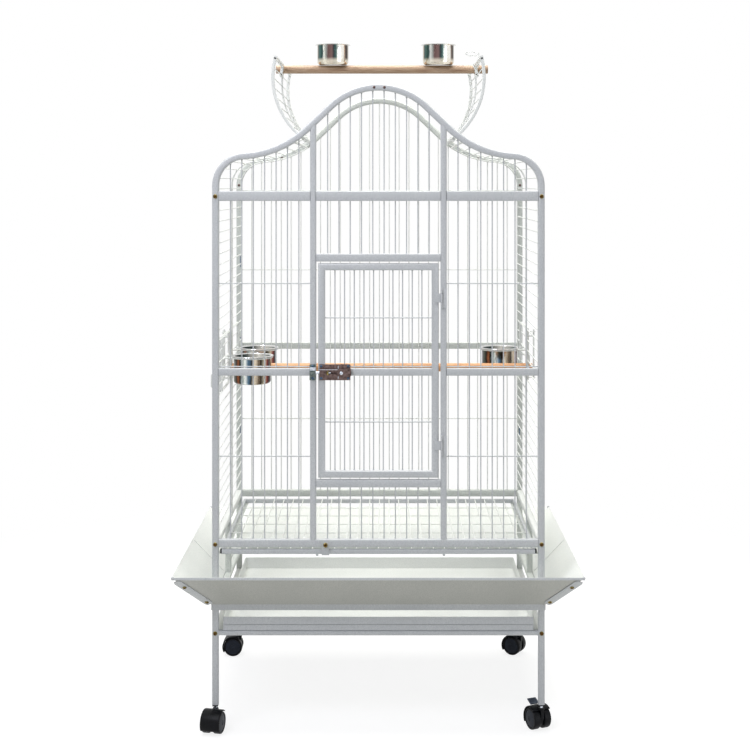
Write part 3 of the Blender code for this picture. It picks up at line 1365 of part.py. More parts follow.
def caster_wheels(name, place, centre, material):
    """Pair of caster wheels on one axle, each with a flat of its rim on the floor."""
    half_side = math.pi / WHEEL_SIDES
    radius = WHEEL_RADIUS / math.cos(half_side)
    wheels = []
    for sign in (-1, 1):
        near = centre + Vector((sign * WHEEL_SPACING / 2, 0, 0))
        wheels.append(cylinder(near, (sign, 0, 0), radius, WHEEL_WIDTH, WHEEL_SIDES, half_side))
    start = centre - Vector((WHEEL_SPACING / 2 + WELD, 0, 0))
    axle = cylinder(start, (1, 0, 0), AXLE_RADIUS, WHEEL_SPACING + 2 * WELD, 10)
    groups = [[moved(shape, place) for shape in wheels], [moved(axle, place)]]
    return solid(f"caster_wheels_{name}", groups, material, smooth_below=math.radians(40))


def brake_root(centre):
    """Return the edge of the brake lever that lies on the hood."""
    seat = BRAKE_THICKNESS / 2 * math.sin(BRAKE_PLACE - BRAKE_TILT)
    reach = WHEEL_RADIUS + FENDER_GAP + FENDER_THICKNESS + SEAT_GAP + seat
    return centre + Vector((0.0, math.cos(BRAKE_PLACE), math.sin(BRAKE_PLACE))) * reach


def brake_lever(name, place, centre, material):
    """Brake lever on the trailing side of a hood."""
    half = BRAKE_THICKNESS / 2
    plate = block((-BRAKE_WIDTH / 2, BRAKE_WIDTH / 2), (0.0, BRAKE_LENGTH), (-half, half))
    tilt = Matrix.Translation(brake_root(centre)) @ Matrix.Rotation(BRAKE_TILT, 4, "X")
    return solid(f"brake_lever_{name}", [[moved(plate, place @ tilt)]], material)


def caster_parts(side, end, heading, brake, materials):
    """Caster: housing with its stem, wheel pair, and a brake lever where it has one."""
    black, grey = materials
    place, centre = caster_frame(side, end, heading)
    name = f"{END_NAMES[end]}_{SIDE_NAMES[side]}"
    housing = caster_housing(name, place, centre, black)
    pivot(f"caster_{name}_swivel", leg_centre(side, end), [housing])
    pair = caster_wheels(name, place, centre, black)
    pivot(f"caster_{name}_axle", place @ centre, [pair])
    if brake:
        lever = brake_lever(name, place, centre, grey)
        pivot(f"brake_{name}_axis", place @ brake_root(centre), [lever])


def build():
    """Model the whole cage."""
    clear_scene()
    powder = finish("powder_coated_steel", (0.80, 0.81, 0.80), 0.45)
    stainless = finish("stainless_steel", (0.72, 0.72, 0.72), 0.12, 1.0)
    bronze = finish("dark_plated_steel", (0.10, 0.09, 0.08), 0.35, 1.0)
    chrome = finish("bright_plated_steel", (0.75, 0.75, 0.76), 0.15, 1.0)
    brass = finish("yellow_zinc", (0.72, 0.55, 0.22), 0.30, 1.0)
    wood = finish("beech_dowel", (0.70, 0.50, 0.34), 0.55)
    black = finish("black_nylon", (0.02, 0.02, 0.022), 0.40)
    grey = finish("grey_nylon", (0.30, 0.30, 0.31), 0.45)

    front_panel(powder)
    back_panel(powder)
    side_panel(LEFT, (FRONT, BACK), powder)
    side_panel(RIGHT, (BACK,), powder)

    for side, end in ((LEFT, FRONT), (LEFT, BACK), (RIGHT, BACK)):
        name = feeder_name(side, end)
        door = feeder_door(side, end, powder)
        centre = bowl_centre(side, end)
        place = centre + Vector((0, 0, BOWL_RIM_TOP - BOWL_HEIGHT))
        bowl = steel_bowl(f"{name}_bowl", place, BOWL_RADIUS, BOWL_RIM_RADIUS, BOWL_HEIGHT, stainless)
        pivot(f"{name}_feeder_axis", feeder_axis(side, end), [door, bowl])

    door = main_door(powder)
    case = latch_case(bronze)
    bolt = latch_bolt(chrome)
    pivot("main_door_axis", door_axis(), [door, case, bolt])
    for name, height in zip(("lower_door_hinge", "upper_door_hinge"), HINGE_HEIGHTS):
        door_hinge(name, height, powder)
    latch_keeper(bronze)

    roof_left = roof_half(LEFT, powder)
    pivot("roof_left_axis", (-ROOF_HINGE_X, 0, ROOF_HINGE_Z), [roof_left])
    roof_right = roof_half(RIGHT, powder)
    hook = roof_hook(powder)
    pivot("roof_right_axis", (ROOF_HINGE_X, 0, ROOF_HINGE_Z), [roof_right, hook])
    play_perch(wood)
    for side, x in zip((LEFT, RIGHT), CUP_PLACES):
        place = (x, 0.0, perch_height() + PERCH_RADIUS + SEAT_GAP)
        steel_bowl(f"{SIDE_NAMES[side]}_cup", place, CUP_RADIUS, CUP_RIM_RADIUS, CUP_HEIGHT, stainless)
    inner_perch(wood)

    for end in (FRONT, BACK):
        stand_end(end, powder)
    for side in (LEFT, RIGHT):
        stand_side(side, powder)
        tray_rail(side, powder)
    for end in (FRONT, BACK):
        guard(f"{END_NAMES[end]}_guard", HALF_WIDTH, HALF_DEPTH, "X", end, powder)
    for side in (LEFT, RIGHT):
        guard(f"{SIDE_NAMES[side]}_guard", HALF_DEPTH, HALF_WIDTH, "Y", side, powder)
    for side in (LEFT, RIGHT):
        for end in (FRONT, BACK):
            guard_bracket(side, end, powder)

    grate(powder)
    thumb_screw(brass)
    tray(powder)
    places = [(side, height) for height in SCREW_HEIGHTS for side in (LEFT, RIGHT)]
    for number, (side, height) in enumerate(places, 1):
        frame_screw(side, height, number, brass)

    caster_parts(LEFT, FRONT, math.radians(167), False, (black, grey))
    caster_parts(RIGHT, FRONT, math.radians(24.5), True, (black, grey))
    caster_parts(LEFT, BACK, math.radians(90), False, (black, grey))
    caster_parts(RIGHT, BACK, math.radians(60), True, (black, grey))


build()
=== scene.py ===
"""Looks of a floor-standing parrot cage with an opening play top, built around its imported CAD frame."""

import math

import bmesh
import bpy
from mathutils import Matrix, Vector


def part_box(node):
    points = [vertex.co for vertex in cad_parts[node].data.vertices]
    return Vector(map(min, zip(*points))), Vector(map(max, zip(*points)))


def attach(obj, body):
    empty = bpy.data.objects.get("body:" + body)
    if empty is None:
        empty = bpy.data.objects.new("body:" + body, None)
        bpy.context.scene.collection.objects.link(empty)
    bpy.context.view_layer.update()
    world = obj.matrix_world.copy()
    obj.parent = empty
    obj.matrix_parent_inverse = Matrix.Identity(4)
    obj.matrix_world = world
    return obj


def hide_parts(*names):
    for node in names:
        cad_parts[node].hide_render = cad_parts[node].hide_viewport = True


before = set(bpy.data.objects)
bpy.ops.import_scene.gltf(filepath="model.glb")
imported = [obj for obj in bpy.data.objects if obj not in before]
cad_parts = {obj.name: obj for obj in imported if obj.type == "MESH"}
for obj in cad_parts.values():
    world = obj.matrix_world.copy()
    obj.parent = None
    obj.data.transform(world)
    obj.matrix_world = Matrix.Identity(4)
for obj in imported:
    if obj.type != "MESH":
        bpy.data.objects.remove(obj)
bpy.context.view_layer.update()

# Studio: a white floor that runs into a white room, a wide soft lamp over the cage, a smaller one
# high at the left in front, and a weak low one at the right that reaches under the seed guards.
scene = bpy.context.scene
scene.view_settings.view_transform = "Standard"


def linear(code):
    """Turn an sRGB hex code into a linear colour."""
    channels = []
    for place in (1, 3, 5):
        value = int(code[place:place + 2], 16) / 255
        channels.append(value / 12.92 if value <= 0.04045 else ((value + 0.055) / 1.055) ** 2.4)
    return (*channels, 1.0)


def add_node(tree, kind, inputs, **settings):
    """Add one shader node: settings are its properties, inputs are values or sockets to link."""
    node = tree.nodes.new(kind)
    for name, value in settings.items():
        setattr(node, name, value)
    for name, value in inputs.items():
        if isinstance(value, bpy.types.NodeSocket):
            tree.links.new(value, node.inputs[name])
        else:
            node.inputs[name].default_value = value
    return node


def white_to_the_eye(tree):
    """Return a socket that is 1 on camera, mirror and glass rays, which see the room as plain white."""
    path = add_node(tree, "ShaderNodeLightPath", {})
    seen = add_node(tree, "ShaderNodeMath", {
        0: path.outputs["Is Camera Ray"], 1: path.outputs["Is Glossy Ray"]}, operation="MAXIMUM")
    seen = add_node(tree, "ShaderNodeMath", {
        0: seen.outputs[0], 1: path.outputs["Is Transmission Ray"]}, operation="MAXIMUM")
    return seen.outputs[0]


ROOM_LIGHT = 0.22
room = bpy.data.worlds.new("white_room")
scene.world = room
room.use_nodes = True
tree = room.node_tree
tree.nodes.clear()
room_fill = add_node(tree, "ShaderNodeBackground", {"Color": linear("#F6F8FF"), "Strength": ROOM_LIGHT})
room_white = add_node(tree, "ShaderNodeBackground", {"Color": linear("#FFFFFF"), "Strength": 1.0})
mixed = add_node(tree, "ShaderNodeMixShader", {
    0: white_to_the_eye(tree), 1: room_fill.outputs[0], 2: room_white.outputs[0]})
add_node(tree, "ShaderNodeOutputWorld", {"Surface": mixed.outputs[0]})

# The floor takes the cage's shadow close by, and from 2.2 m out it is as white as the room.
FLOOR_REACH = 9.0
FLOOR_DROP = 0.0004
SHADED_WITHIN = 0.6
WHITE_BEYOND = 2.2
floor_mesh = bpy.data.meshes.new("studio_floor")
floor_mesh.from_pydata(
    [(x * FLOOR_REACH, y * FLOOR_REACH, -FLOOR_DROP) for x, y in ((-1, -1), (1, -1), (1, 1), (-1, 1))],
    [], [(0, 1, 2, 3)])
floor = bpy.data.objects.new("studio_floor", floor_mesh)
scene.collection.objects.link(floor)
floor_paint = bpy.data.materials.new("matt_white_floor")
floor_paint.use_nodes = True
tree = floor_paint.node_tree
tree.nodes.clear()
plain = add_node(tree, "ShaderNodeBsdfDiffuse", {"Color": linear("#D2D2D0")})
shaded = add_node(tree, "ShaderNodeBsdfDiffuse", {"Color": linear("#8E8E8E")})
glow = add_node(tree, "ShaderNodeEmission", {"Color": linear("#FFFFFF"), "Strength": 0.84})
bright = add_node(tree, "ShaderNodeAddShader", {0: shaded.outputs[0], 1: glow.outputs[0]})
far = add_node(tree, "ShaderNodeVectorMath", {
    0: add_node(tree, "ShaderNodeTexCoord", {}).outputs["Object"]}, operation="LENGTH")
far_share = add_node(tree, "ShaderNodeMapRange", {
    "Value": far.outputs["Value"], "From Min": SHADED_WITHIN, "From Max": WHITE_BEYOND},
    interpolation_type="SMOOTHSTEP")
clear = add_node(tree, "ShaderNodeEmission", {"Color": linear("#FFFFFF"), "Strength": 1.0})
seen_floor = add_node(tree, "ShaderNodeMixShader", {
    0: far_share.outputs[0], 1: bright.outputs[0], 2: clear.outputs[0]})
mixed = add_node(tree, "ShaderNodeMixShader", {
    0: white_to_the_eye(tree), 1: plain.outputs[0], 2: seen_floor.outputs[0]})
add_node(tree, "ShaderNodeOutputMaterial", {"Surface": mixed.outputs[0]})
floor_mesh.materials.append(floor_paint)


def add_lamp(name, place, aim, size, power, colour):
    """Hang a square soft lamp that points at a place on the cage."""
    data = bpy.data.lights.new(name, "AREA")
    data.size = size
    data.energy = power
    data.color = linear(colour)[:3]
    lamp = bpy.data.objects.new(name, data)
    lamp.location = place
    lamp.rotation_euler = (Vector(aim) - Vector(place)).to_track_quat("-Z", "Y").to_euler()
    scene.collection.objects.link(lamp)


add_lamp("overhead_softbox", (0.0, 0.25, 4.0), (0.0, 0.05, 1.0), 3.0, 225, "#FFFFF8")
add_lamp("upper_left_softbox", (-1.3, -2.0, 2.75), (0, -0.29, 1.4), 1.15, 40, "#F3F4FF")
add_lamp("lower_right_softbox", (2.8, -2.4, 0.8), (0.2, -0.3, 0.5), 1.6, 15, "#F4FAFF")

# The camera stands level at the photograph's eye height, so that upright edges stay upright, and
# its lens is shifted down to frame the cage.
camera = bpy.data.objects.new("camera", bpy.data.cameras.new("camera"))
camera.location = (0.0186, -3.778, 1.335)
camera.rotation_euler = (math.radians(90.0), 0.0, 0.0)
camera.data.sensor_width = 36.0
camera.data.lens = 68.54
camera.data.shift_x = -0.0147
camera.data.shift_y = -0.2539
scene.collection.objects.link(camera)
scene.camera = camera

# Front frame: square steel tube bent into the arched hoop, with posts and flat rails welded
# between and round wires welded behind the rails, all powder coated in one vein finish.
front_low, front_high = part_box("front_panel")
HALF_WIDTH = front_high.x
FRONT_FACE = front_low.y
CAGE_FLOOR = front_low.z
BACK_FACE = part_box("back_panel")[1].y
TUBE = 0.016
TUBE_CORNER = 0.0042
WIRE = 0.003
BAR_PITCH = 0.0276
RAIL_THICKNESS = 0.011
RAIL_CORNER = 0.0024
WIRE_DEPTH = RAIL_THICKNESS + 0.002
CROSS_WIRE_DEPTH = RAIL_THICKNESS - WIRE / 2
CORNER_TOP = 1.333
CORNER_RADIUS = 0.080
SHOULDER_SLOPE = math.radians(3.0)
SWEEP_RADIUS = 0.240
FLANK_SLOPE = math.radians(43.5)
DOME_RADIUS = 0.1754
ARC_STEPS = 14
FLOOR_RAIL = (0.449, 0.468)
MIDDLE_RAIL = (0.868, 0.886)
UPPER_RAIL = (1.295, 1.319)
DOORWAY = (0.614, 1.147)
DOORWAY_RAIL_HEIGHT = 0.019
CROSS_WIRE_HEIGHTS = (0.670, 1.093)
MIDDLE_WIRE_HEIGHT = 0.8895
DOORWAY_HALF = 0.152
INNER_POST_WIDTH = 0.015
POST_INNER = HALF_WIDTH - TUBE
# Clearance between pieces that lie on each other, and how far a welded end runs into its tube.
SEAT_GAP = 0.0003
RUN_IN = 0.001
BEAD_RADIUS = 0.0024
BEAD_HALF = 0.0030
# A part that lies in a tube's own plane is this much thinner, so that no two faces share a plane.
THINNER = 0.0004


def start_material(name, slot):
    """Start an empty material for a slot. Return it, its tree and the piece's own coordinates."""
    material = bpy.data.materials.new(name)
    material.use_nodes = True
    material["slot"] = slot
    tree = material.node_tree
    tree.nodes.clear()
    return material, tree, add_node(tree, "ShaderNodeTexCoord", {}).outputs["Object"]


def powder_coat(name, film, vein):
    """Polyester powder baked on steel: a satin film whose fine raised vein breaks up the highlights."""
    material, tree, place = start_material(name, "powder_coated_steel")
    vein_width = 0.0022
    film_drift = 0.09
    veins = add_node(tree, "ShaderNodeTexNoise", {
        "Vector": place, "Scale": 1 / vein_width, "Detail": 3.0, "Roughness": 0.6, "Distortion": 0.6})
    tight = add_node(tree, "ShaderNodeMapRange", {
        "Value": veins.outputs[0], "From Min": 0.38, "From Max": 0.66})
    drift = add_node(tree, "ShaderNodeTexNoise", {
        "Vector": place, "Scale": 1 / film_drift, "Detail": 2.0})
    thin = add_node(tree, "ShaderNodeMapRange", {
        "Value": drift.outputs[0], "From Min": 0.3, "From Max": 0.7, "To Min": 0.0, "To Max": 0.35})
    coat = add_node(tree, "ShaderNodeMix", {
        0: tight.outputs[0], 6: linear(film), 7: linear(vein)}, data_type="RGBA")
    coat = add_node(tree, "ShaderNodeMix", {
        0: thin.outputs[0], 6: coat.outputs[2], 7: linear(vein)}, data_type="RGBA")
    gloss = add_node(tree, "ShaderNodeMapRange", {
        "Value": veins.outputs[0], "To Min": 0.30, "To Max": 0.48})
    relief = add_node(tree, "ShaderNodeBump", {
        "Height": veins.outputs[0], "Strength": 0.35, "Distance": 0.0004})
    shader = add_node(tree, "ShaderNodeBsdfPrincipled", {
        "Base Color": coat.outputs[2], "Roughness": gloss.outputs[0], "IOR": 1.5,
        "Normal": relief.outputs[0]})
    add_node(tree, "ShaderNodeOutputMaterial", {"Surface": shader.outputs[0]})
    return material


# The same coat is drawn in copies: the darker silver one is painted shade on the front's tubes and
# other parts that face the front, and the near-white one is the coat as it reads on thin wires in
# full light.
painted_shade_silver_coat = powder_coat("powder_coated_steel", "#C9CBCD", "#B4B7BA")
white_coat = powder_coat("white_powder_coat", "#E5E6E3", "#D5D8D5")


def loft(rings, closed=False):
    """Join equal rings of points by quads, with flat caps unless the rings run in a circle."""
    count = len(rings[0])
    points = [Vector(point) for ring in rings for point in ring]
    faces = []
    for ring in range(len(rings) if closed else len(rings) - 1):
        here = ring * count
        there = (ring + 1) % len(rings) * count
        for index in range(count):
            after = (index + 1) % count
            faces.append((here + index, here + after, there + after, there + index))
    if not closed:
        faces.append(tuple(range(count)))
        faces.append(tuple((len(rings) - 1) * count + index for index in range(count)))
    return points, faces


def round_bar(radius, sides=8):
    """Return the section of a round wire or dowel."""
    angles = [math.tau * (index + 0.5) / sides for index in range(sides)]
    return [(radius * math.cos(angle), radius * math.sin(angle)) for angle in angles]


def square_bar(across, over, corner):
    """Return the section of a square tube or flat bar with rounded corners."""
    steps = 3
    section = []
    for number, (u, v) in enumerate(((1, 1), (-1, 1), (-1, -1), (1, -1))):
        for step in range(steps + 1):
            angle = math.pi / 2 * (number + step / steps)
            section.append((
                u * (across / 2 - corner) + corner * math.cos(angle),
                v * (over / 2 - corner) + corner * math.sin(angle)))
    return section


def swept(path, section, closed=False, across=(0, 1, 0)):
    """Sweep a section of (across, over) points along a path, with its corners mitred."""
    nearly_along, sharpest_mitre = 0.9, 0.3
    path = [Vector(point) for point in path]
    side = Vector(across)
    if abs(side.dot((path[1] - path[0]).normalized())) > nearly_along:
        side = Vector((1, 0, 0))
    last = len(path) - 1
    rings = []
    for index, point in enumerate(path):
        before = point - path[index - 1]
        ahead = path[(index + 1) % len(path)] - point if index < last or closed else before
        behind = before if index or closed else ahead
        ahead, behind = ahead.normalized(), behind.normalized()
        along = (ahead + behind).normalized()
        side = (side - along * side.dot(along)).normalized()
        over = along.cross(side)
        bend = ahead - behind
        stretch = 1 / max(along.dot(ahead), sharpest_mitre) - 1
        ring = []
        for u, v in section:
            offset = side * u + over * v
            if bend.length > 1e-6:
                offset += bend * (offset.dot(bend) / bend.length_squared * stretch)
            ring.append(point + offset)
        rings.append(ring)
    return loft(rings, closed)


def weld_bead(place, width, height):
    """Return the small rounded bead that a weld leaves."""
    rings = []
    for level in (-0.92, -0.5, 0.0, 0.5, 0.92):
        reach = math.sqrt(1 - level * level) * width
        rings.append([
            Vector(place) + Vector((math.cos(angle) * reach, math.sin(angle) * reach, level * height))
            for angle in (math.tau * index / 8 for index in range(8))])
    return loft(rings)


def add_piece(name, shapes, material, body, stands_for=(), place=(0, 0, 0)):
    """Make one piece of the cage from closed shapes, set it in its place and fix it to its body."""
    sharp_edge = math.radians(38)
    points, faces = [], []
    for shape_points, shape_faces in shapes:
        start = len(points)
        points.extend(shape_points)
        faces.extend(tuple(start + index for index in face) for face in shape_faces)
    mesh = bpy.data.meshes.new(name)
    mesh.from_pydata(points, [], faces)
    build = bmesh.new()
    build.from_mesh(mesh)
    bmesh.ops.recalc_face_normals(build, faces=build.faces)
    build.to_mesh(mesh)
    build.free()
    mesh.shade_smooth()
    mesh.set_sharp_from_angle(angle=sharp_edge)
    mesh.materials.append(material)
    piece = bpy.data.objects.new(name, mesh)
    piece.location = place
    scene.collection.objects.link(piece)
    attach(piece, body)
    if stands_for:
        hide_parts(*stands_for)
    return piece


def arch_edge():
    """Return (x, z, slope) along the left half of the arch's outer edge, from its post to its top."""
    samples = [(-HALF_WIDTH, CORNER_TOP, math.pi / 2)]
    for step in range(1, ARC_STEPS + 1):
        slope = math.pi / 2 + (SHOULDER_SLOPE - math.pi / 2) * step / ARC_STEPS
        samples.append((
            -HALF_WIDTH + CORNER_RADIUS * (1 - math.sin(slope)),
            CORNER_TOP + CORNER_RADIUS * math.cos(slope), slope))
    x, z, _ = samples[-1]
    x -= SWEEP_RADIUS * math.sin(SHOULDER_SLOPE)
    z += SWEEP_RADIUS * math.cos(SHOULDER_SLOPE)
    for step in range(1, ARC_STEPS + 1):
        slope = SHOULDER_SLOPE + (FLANK_SLOPE - SHOULDER_SLOPE) * step / ARC_STEPS
        samples.append((x + SWEEP_RADIUS * math.sin(slope), z - SWEEP_RADIUS * math.cos(slope), slope))
    x, z, _ = samples[-1]
    dome_x = -DOME_RADIUS * math.sin(FLANK_SLOPE)
    base = z + (dome_x - x) * math.tan(FLANK_SLOPE) - DOME_RADIUS * math.cos(FLANK_SLOPE)
    for step in range(ARC_STEPS + 1):
        slope = FLANK_SLOPE * (1 - step / ARC_STEPS)
        samples.append((-DOME_RADIUS * math.sin(slope), base + DOME_RADIUS * math.cos(slope), slope))
    return samples


def inside_edge(samples, distance):
    """Return (x, z) of a line that runs a distance inside the arch's outer edge."""
    return [(x + distance * math.sin(slope), z - distance * math.cos(slope)) for x, z, slope in samples]


def arch_height(x, distance):
    """Return the height over x of a line inside the arch's outer edge."""
    line = inside_edge(arch_edge(), distance)
    for (x_low, z_low), (x_high, z_high) in zip(line, line[1:]):
        if x_low <= -abs(x) <= x_high:
            return z_low + (z_high - z_low) * (-abs(x) - x_low) / (x_high - x_low)
    return line[0][1]


def spread(low, high, pitch):
    """Return evenly spaced places between two limits, as near the pitch as they fit."""
    count = round((high - low) / pitch)
    return [low + (high - low) * index / count for index in range(1, count)]


def depth(end, distance):
    """Return the Y of a plane a distance behind the face of the front (-1) or back (1) frame."""
    return FRONT_FACE + distance if end < 0 else BACK_FACE - distance


def hoop(end):
    """Return the square tube that makes both posts and the arch of a frame."""
    left = [(-HALF_WIDTH + TUBE / 2, CAGE_FLOOR)] + inside_edge(arch_edge(), TUBE / 2)
    line = left + [(-x, z) for x, z in reversed(left[:-1])]
    y = depth(end, TUBE / 2)
    return swept([(x, y, z) for x, z in line], square_bar(TUBE, TUBE, TUBE_CORNER))


def level_rail(x_range, z_range, end, thickness=RAIL_THICKNESS):
    """Return a flat level rail between two posts."""
    low, high = z_range
    y = depth(end, thickness / 2 + SEAT_GAP)
    section = square_bar(thickness - 2 * SEAT_GAP, high - low, RAIL_CORNER)
    return swept([(x, y, (low + high) / 2) for x in x_range], section)


def upright_wire(x, z_range, end):
    """Return an upright wire on the inner side of the rails, with the weld beads at its two ends."""
    low, high = z_range
    y = depth(end, WIRE_DEPTH)
    beads = [weld_bead((x, y, z), BEAD_RADIUS, BEAD_HALF) for z in z_range]
    return [swept([(x, y, low), (x, y, high)], round_bar(WIRE / 2))] + beads


def cross_wire(x_range, z, end):
    """Return a level wire on the outer side of the upright ones."""
    y = depth(end, CROSS_WIRE_DEPTH)
    return swept([(x_range[0], y, z), (x_range[1], y, z)], round_bar(WIRE / 2))


deep_rail = TUBE - SEAT_GAP
post_middle = DOORWAY_HALF + INNER_POST_WIDTH / 2
post_outer = DOORWAY_HALF + INNER_POST_WIDTH
front_tubes = [hoop(-1), level_rail((-POST_INNER, POST_INNER), FLOOR_RAIL, -1, deep_rail)]
front_wires = []
post_section = square_bar(deep_rail - 2 * SEAT_GAP, INNER_POST_WIDTH, TUBE_CORNER)
for side in (-1, 1):
    top = arch_height(post_middle, TUBE / 2)
    x = side * post_middle
    y = depth(-1, deep_rail / 2 + 0.0002)
    front_tubes.append(swept([(x, y, FLOOR_RAIL[1] - RUN_IN), (x, y, top)], post_section))
    edges = sorted((side * post_outer, side * POST_INNER))
    front_tubes.append(level_rail(edges, UPPER_RAIL, -1))
    front_tubes.append(level_rail(edges, MIDDLE_RAIL, -1))
    for z in (*CROSS_WIRE_HEIGHTS, MIDDLE_WIRE_HEIGHT):
        front_wires.append(cross_wire(edges, z, -1))
    for x in spread(*edges, BAR_PITCH):
        front_wires += upright_wire(x, (FLOOR_RAIL[1], arch_height(abs(x), TUBE)), -1)
between = (-DOORWAY_HALF, DOORWAY_HALF)
sill = DOORWAY[0] - DOORWAY_RAIL_HEIGHT
lintel = DOORWAY[1] + DOORWAY_RAIL_HEIGHT
front_tubes += [
    level_rail(between, (sill, DOORWAY[0]), -1, deep_rail - 3 * SEAT_GAP),
    level_rail(between, (DOORWAY[1], lintel), -1, deep_rail - 3 * SEAT_GAP),
    level_rail(between, UPPER_RAIL, -1)]
for x in spread(*between, BAR_PITCH):
    front_wires += upright_wire(x, (FLOOR_RAIL[1], sill), -1)
    front_wires += upright_wire(x, (lintel, arch_height(x, TUBE)), -1)
# The front frame's tubes and wires take the silver copy of the coat: painted shade.
add_piece("front_frame_tubes", front_tubes, painted_shade_silver_coat, "cage", ["front_panel"])
add_piece("front_frame_wires", front_wires, painted_shade_silver_coat, "cage")

# Back frame: the same arched tube with three rails and a full field of wires, whose level wires
# lie behind the upright ones as seen from inside the cage.
across = (-POST_INNER, POST_INNER)
back_tubes = [hoop(1), level_rail(across, FLOOR_RAIL, 1, deep_rail)]
back_tubes += [level_rail(across, rail, 1) for rail in (MIDDLE_RAIL, UPPER_RAIL)]
back_wires = [cross_wire(across, z, 1) for z in CROSS_WIRE_HEIGHTS]
for x in spread(*across, BAR_PITCH):
    back_wires += upright_wire(x, (FLOOR_RAIL[1], arch_height(x, TUBE)), 1)
# The same paint as the front frame, in a paler, slightly green copy that is painted light from behind.
painted_light_pale_coat = powder_coat("painted_light_pale_powder_coat", "#CFD2CE", "#B8BDB8")
add_piece("back_frame_tubes", back_tubes, painted_light_pale_coat, "cage", ["back_panel"])
add_piece("back_frame_wires", back_wires, white_coat, "cage")

# Side panels: a floor rail of square tube, four bent hoops of wire and the wires welded across
# them from front to back, with a rail and the roof's three hinge eyes at the shoulder.
SIDE_ROD_INSET = 0.0145
SIDE_PITCH = 0.027
SIDE_FIRST_ROD = 0.470
SIDE_HOOP_SETBACK = 0.020
MIDDLE_HOOP_SPREAD = 0.012
SHOULDER_RAIL = 0.006
SHOULDER_RAIL_X = 0.213
ROOF_HINGE_X = 0.185
ROOF_HINGE_Z = 1.449
ROOF_EYE_PLACES = (-0.190, 0.0, 0.190)
ROOF_EYE_RADIUS = 0.0060
ROOF_EYE_WIRE = 0.0024
ROOF_ARM_SPREAD = 0.003
ROOF_ARM_BEND = (0.010, 0.002)
FEEDER_FIRST_ROD = 12
FEEDER_ROD_COUNT = 5
FEEDER_WIDTH = 0.190
FEEDER_FRAME = 0.004
FEEDER_HINGE_DEPTHS = {-1: 0.280, 1: 0.304}
FEEDER_AXIS_OUT = 0.004
FEEDER_EYE_HEIGHT = 0.006
FEEDER_EYE_RADIUS = 0.0040
FEEDER_EYE_WIRE = 0.0020
FEEDER_ARM_RADIUS = 0.0013
FEEDER_NAMES = {(-1, -1): "front_left", (-1, 1): "back_left", (1, 1): "back_right"}


def side_wall(distance):
    """Return (x, z) of the left wall's line from the floor rail to the shoulder."""
    edge = [(-HALF_WIDTH, FLOOR_RAIL[1] - WIRE / 2, math.pi / 2)] + arch_edge()
    kept = [sample for sample in edge if sample[0] <= -SHOULDER_RAIL_X]
    after = edge[len(kept)]
    share = (-SHOULDER_RAIL_X - kept[-1][0]) / (after[0] - kept[-1][0])
    kept.append(tuple(a + (b - a) * share for a, b in zip(kept[-1], after)))
    return inside_edge(kept, distance)


def along_line(line, distance):
    """Return the (x, z) that lies a distance along a line."""
    for (x_low, z_low), (x_high, z_high) in zip(line, line[1:]):
        length = math.hypot(x_high - x_low, z_high - z_low)
        if distance <= length:
            share = distance / length
            return x_low + (x_high - x_low) * share, z_low + (z_high - z_low) * share
        distance -= length
    return line[-1]


wall_line = side_wall(SIDE_ROD_INSET)
wall_length = sum(math.dist(a, b) for a, b in zip(wall_line, wall_line[1:]))
first_rod = SIDE_FIRST_ROD + SIDE_PITCH - wall_line[0][1]
rod_count = round((wall_length - first_rod) / SIDE_PITCH)
side_rods = [along_line(wall_line, first_rod + (wall_length - first_rod) * index / rod_count)
             for index in range(rod_count)]
feeder_low = side_rods[FEEDER_FIRST_ROD][1]
feeder_high = side_rods[FEEDER_FIRST_ROD + FEEDER_ROD_COUNT][1]
wall_x = -HALF_WIDTH + SIDE_ROD_INSET


def feeder_hinge(side, end):
    """Return the foot of a feeder door's hinge axis."""
    return Vector((side * (HALF_WIDTH + FEEDER_AXIS_OUT), FRONT_FACE + FEEDER_HINGE_DEPTHS[end], 0.0))


def feeder_uprights(end):
    """Return the Y of the two wires that frame a feeder opening, its hinge side first."""
    hinge = FRONT_FACE + FEEDER_HINGE_DEPTHS[end] + end * FEEDER_FRAME
    return hinge, hinge + end * FEEDER_WIDTH


def mirrored(shape, side):
    """Return a shape of the left side, or its mirror image for the right."""
    points, faces = shape
    return [Vector((-side * point.x, point.y, point.z)) for point in points], faces


def ring_of_wire(centre, axis, radius, wire, sides=24):
    """Return a closed ring of round wire about an axis."""
    axis = Vector(axis)
    first = axis.orthogonal().normalized()
    second = axis.cross(first)
    path = []
    for index in range(sides):
        angle = math.tau * index / sides
        path.append(Vector(centre) + (first * math.cos(angle) + second * math.sin(angle)) * radius)
    return swept(path, round_bar(wire / 2), closed=True, across=axis)


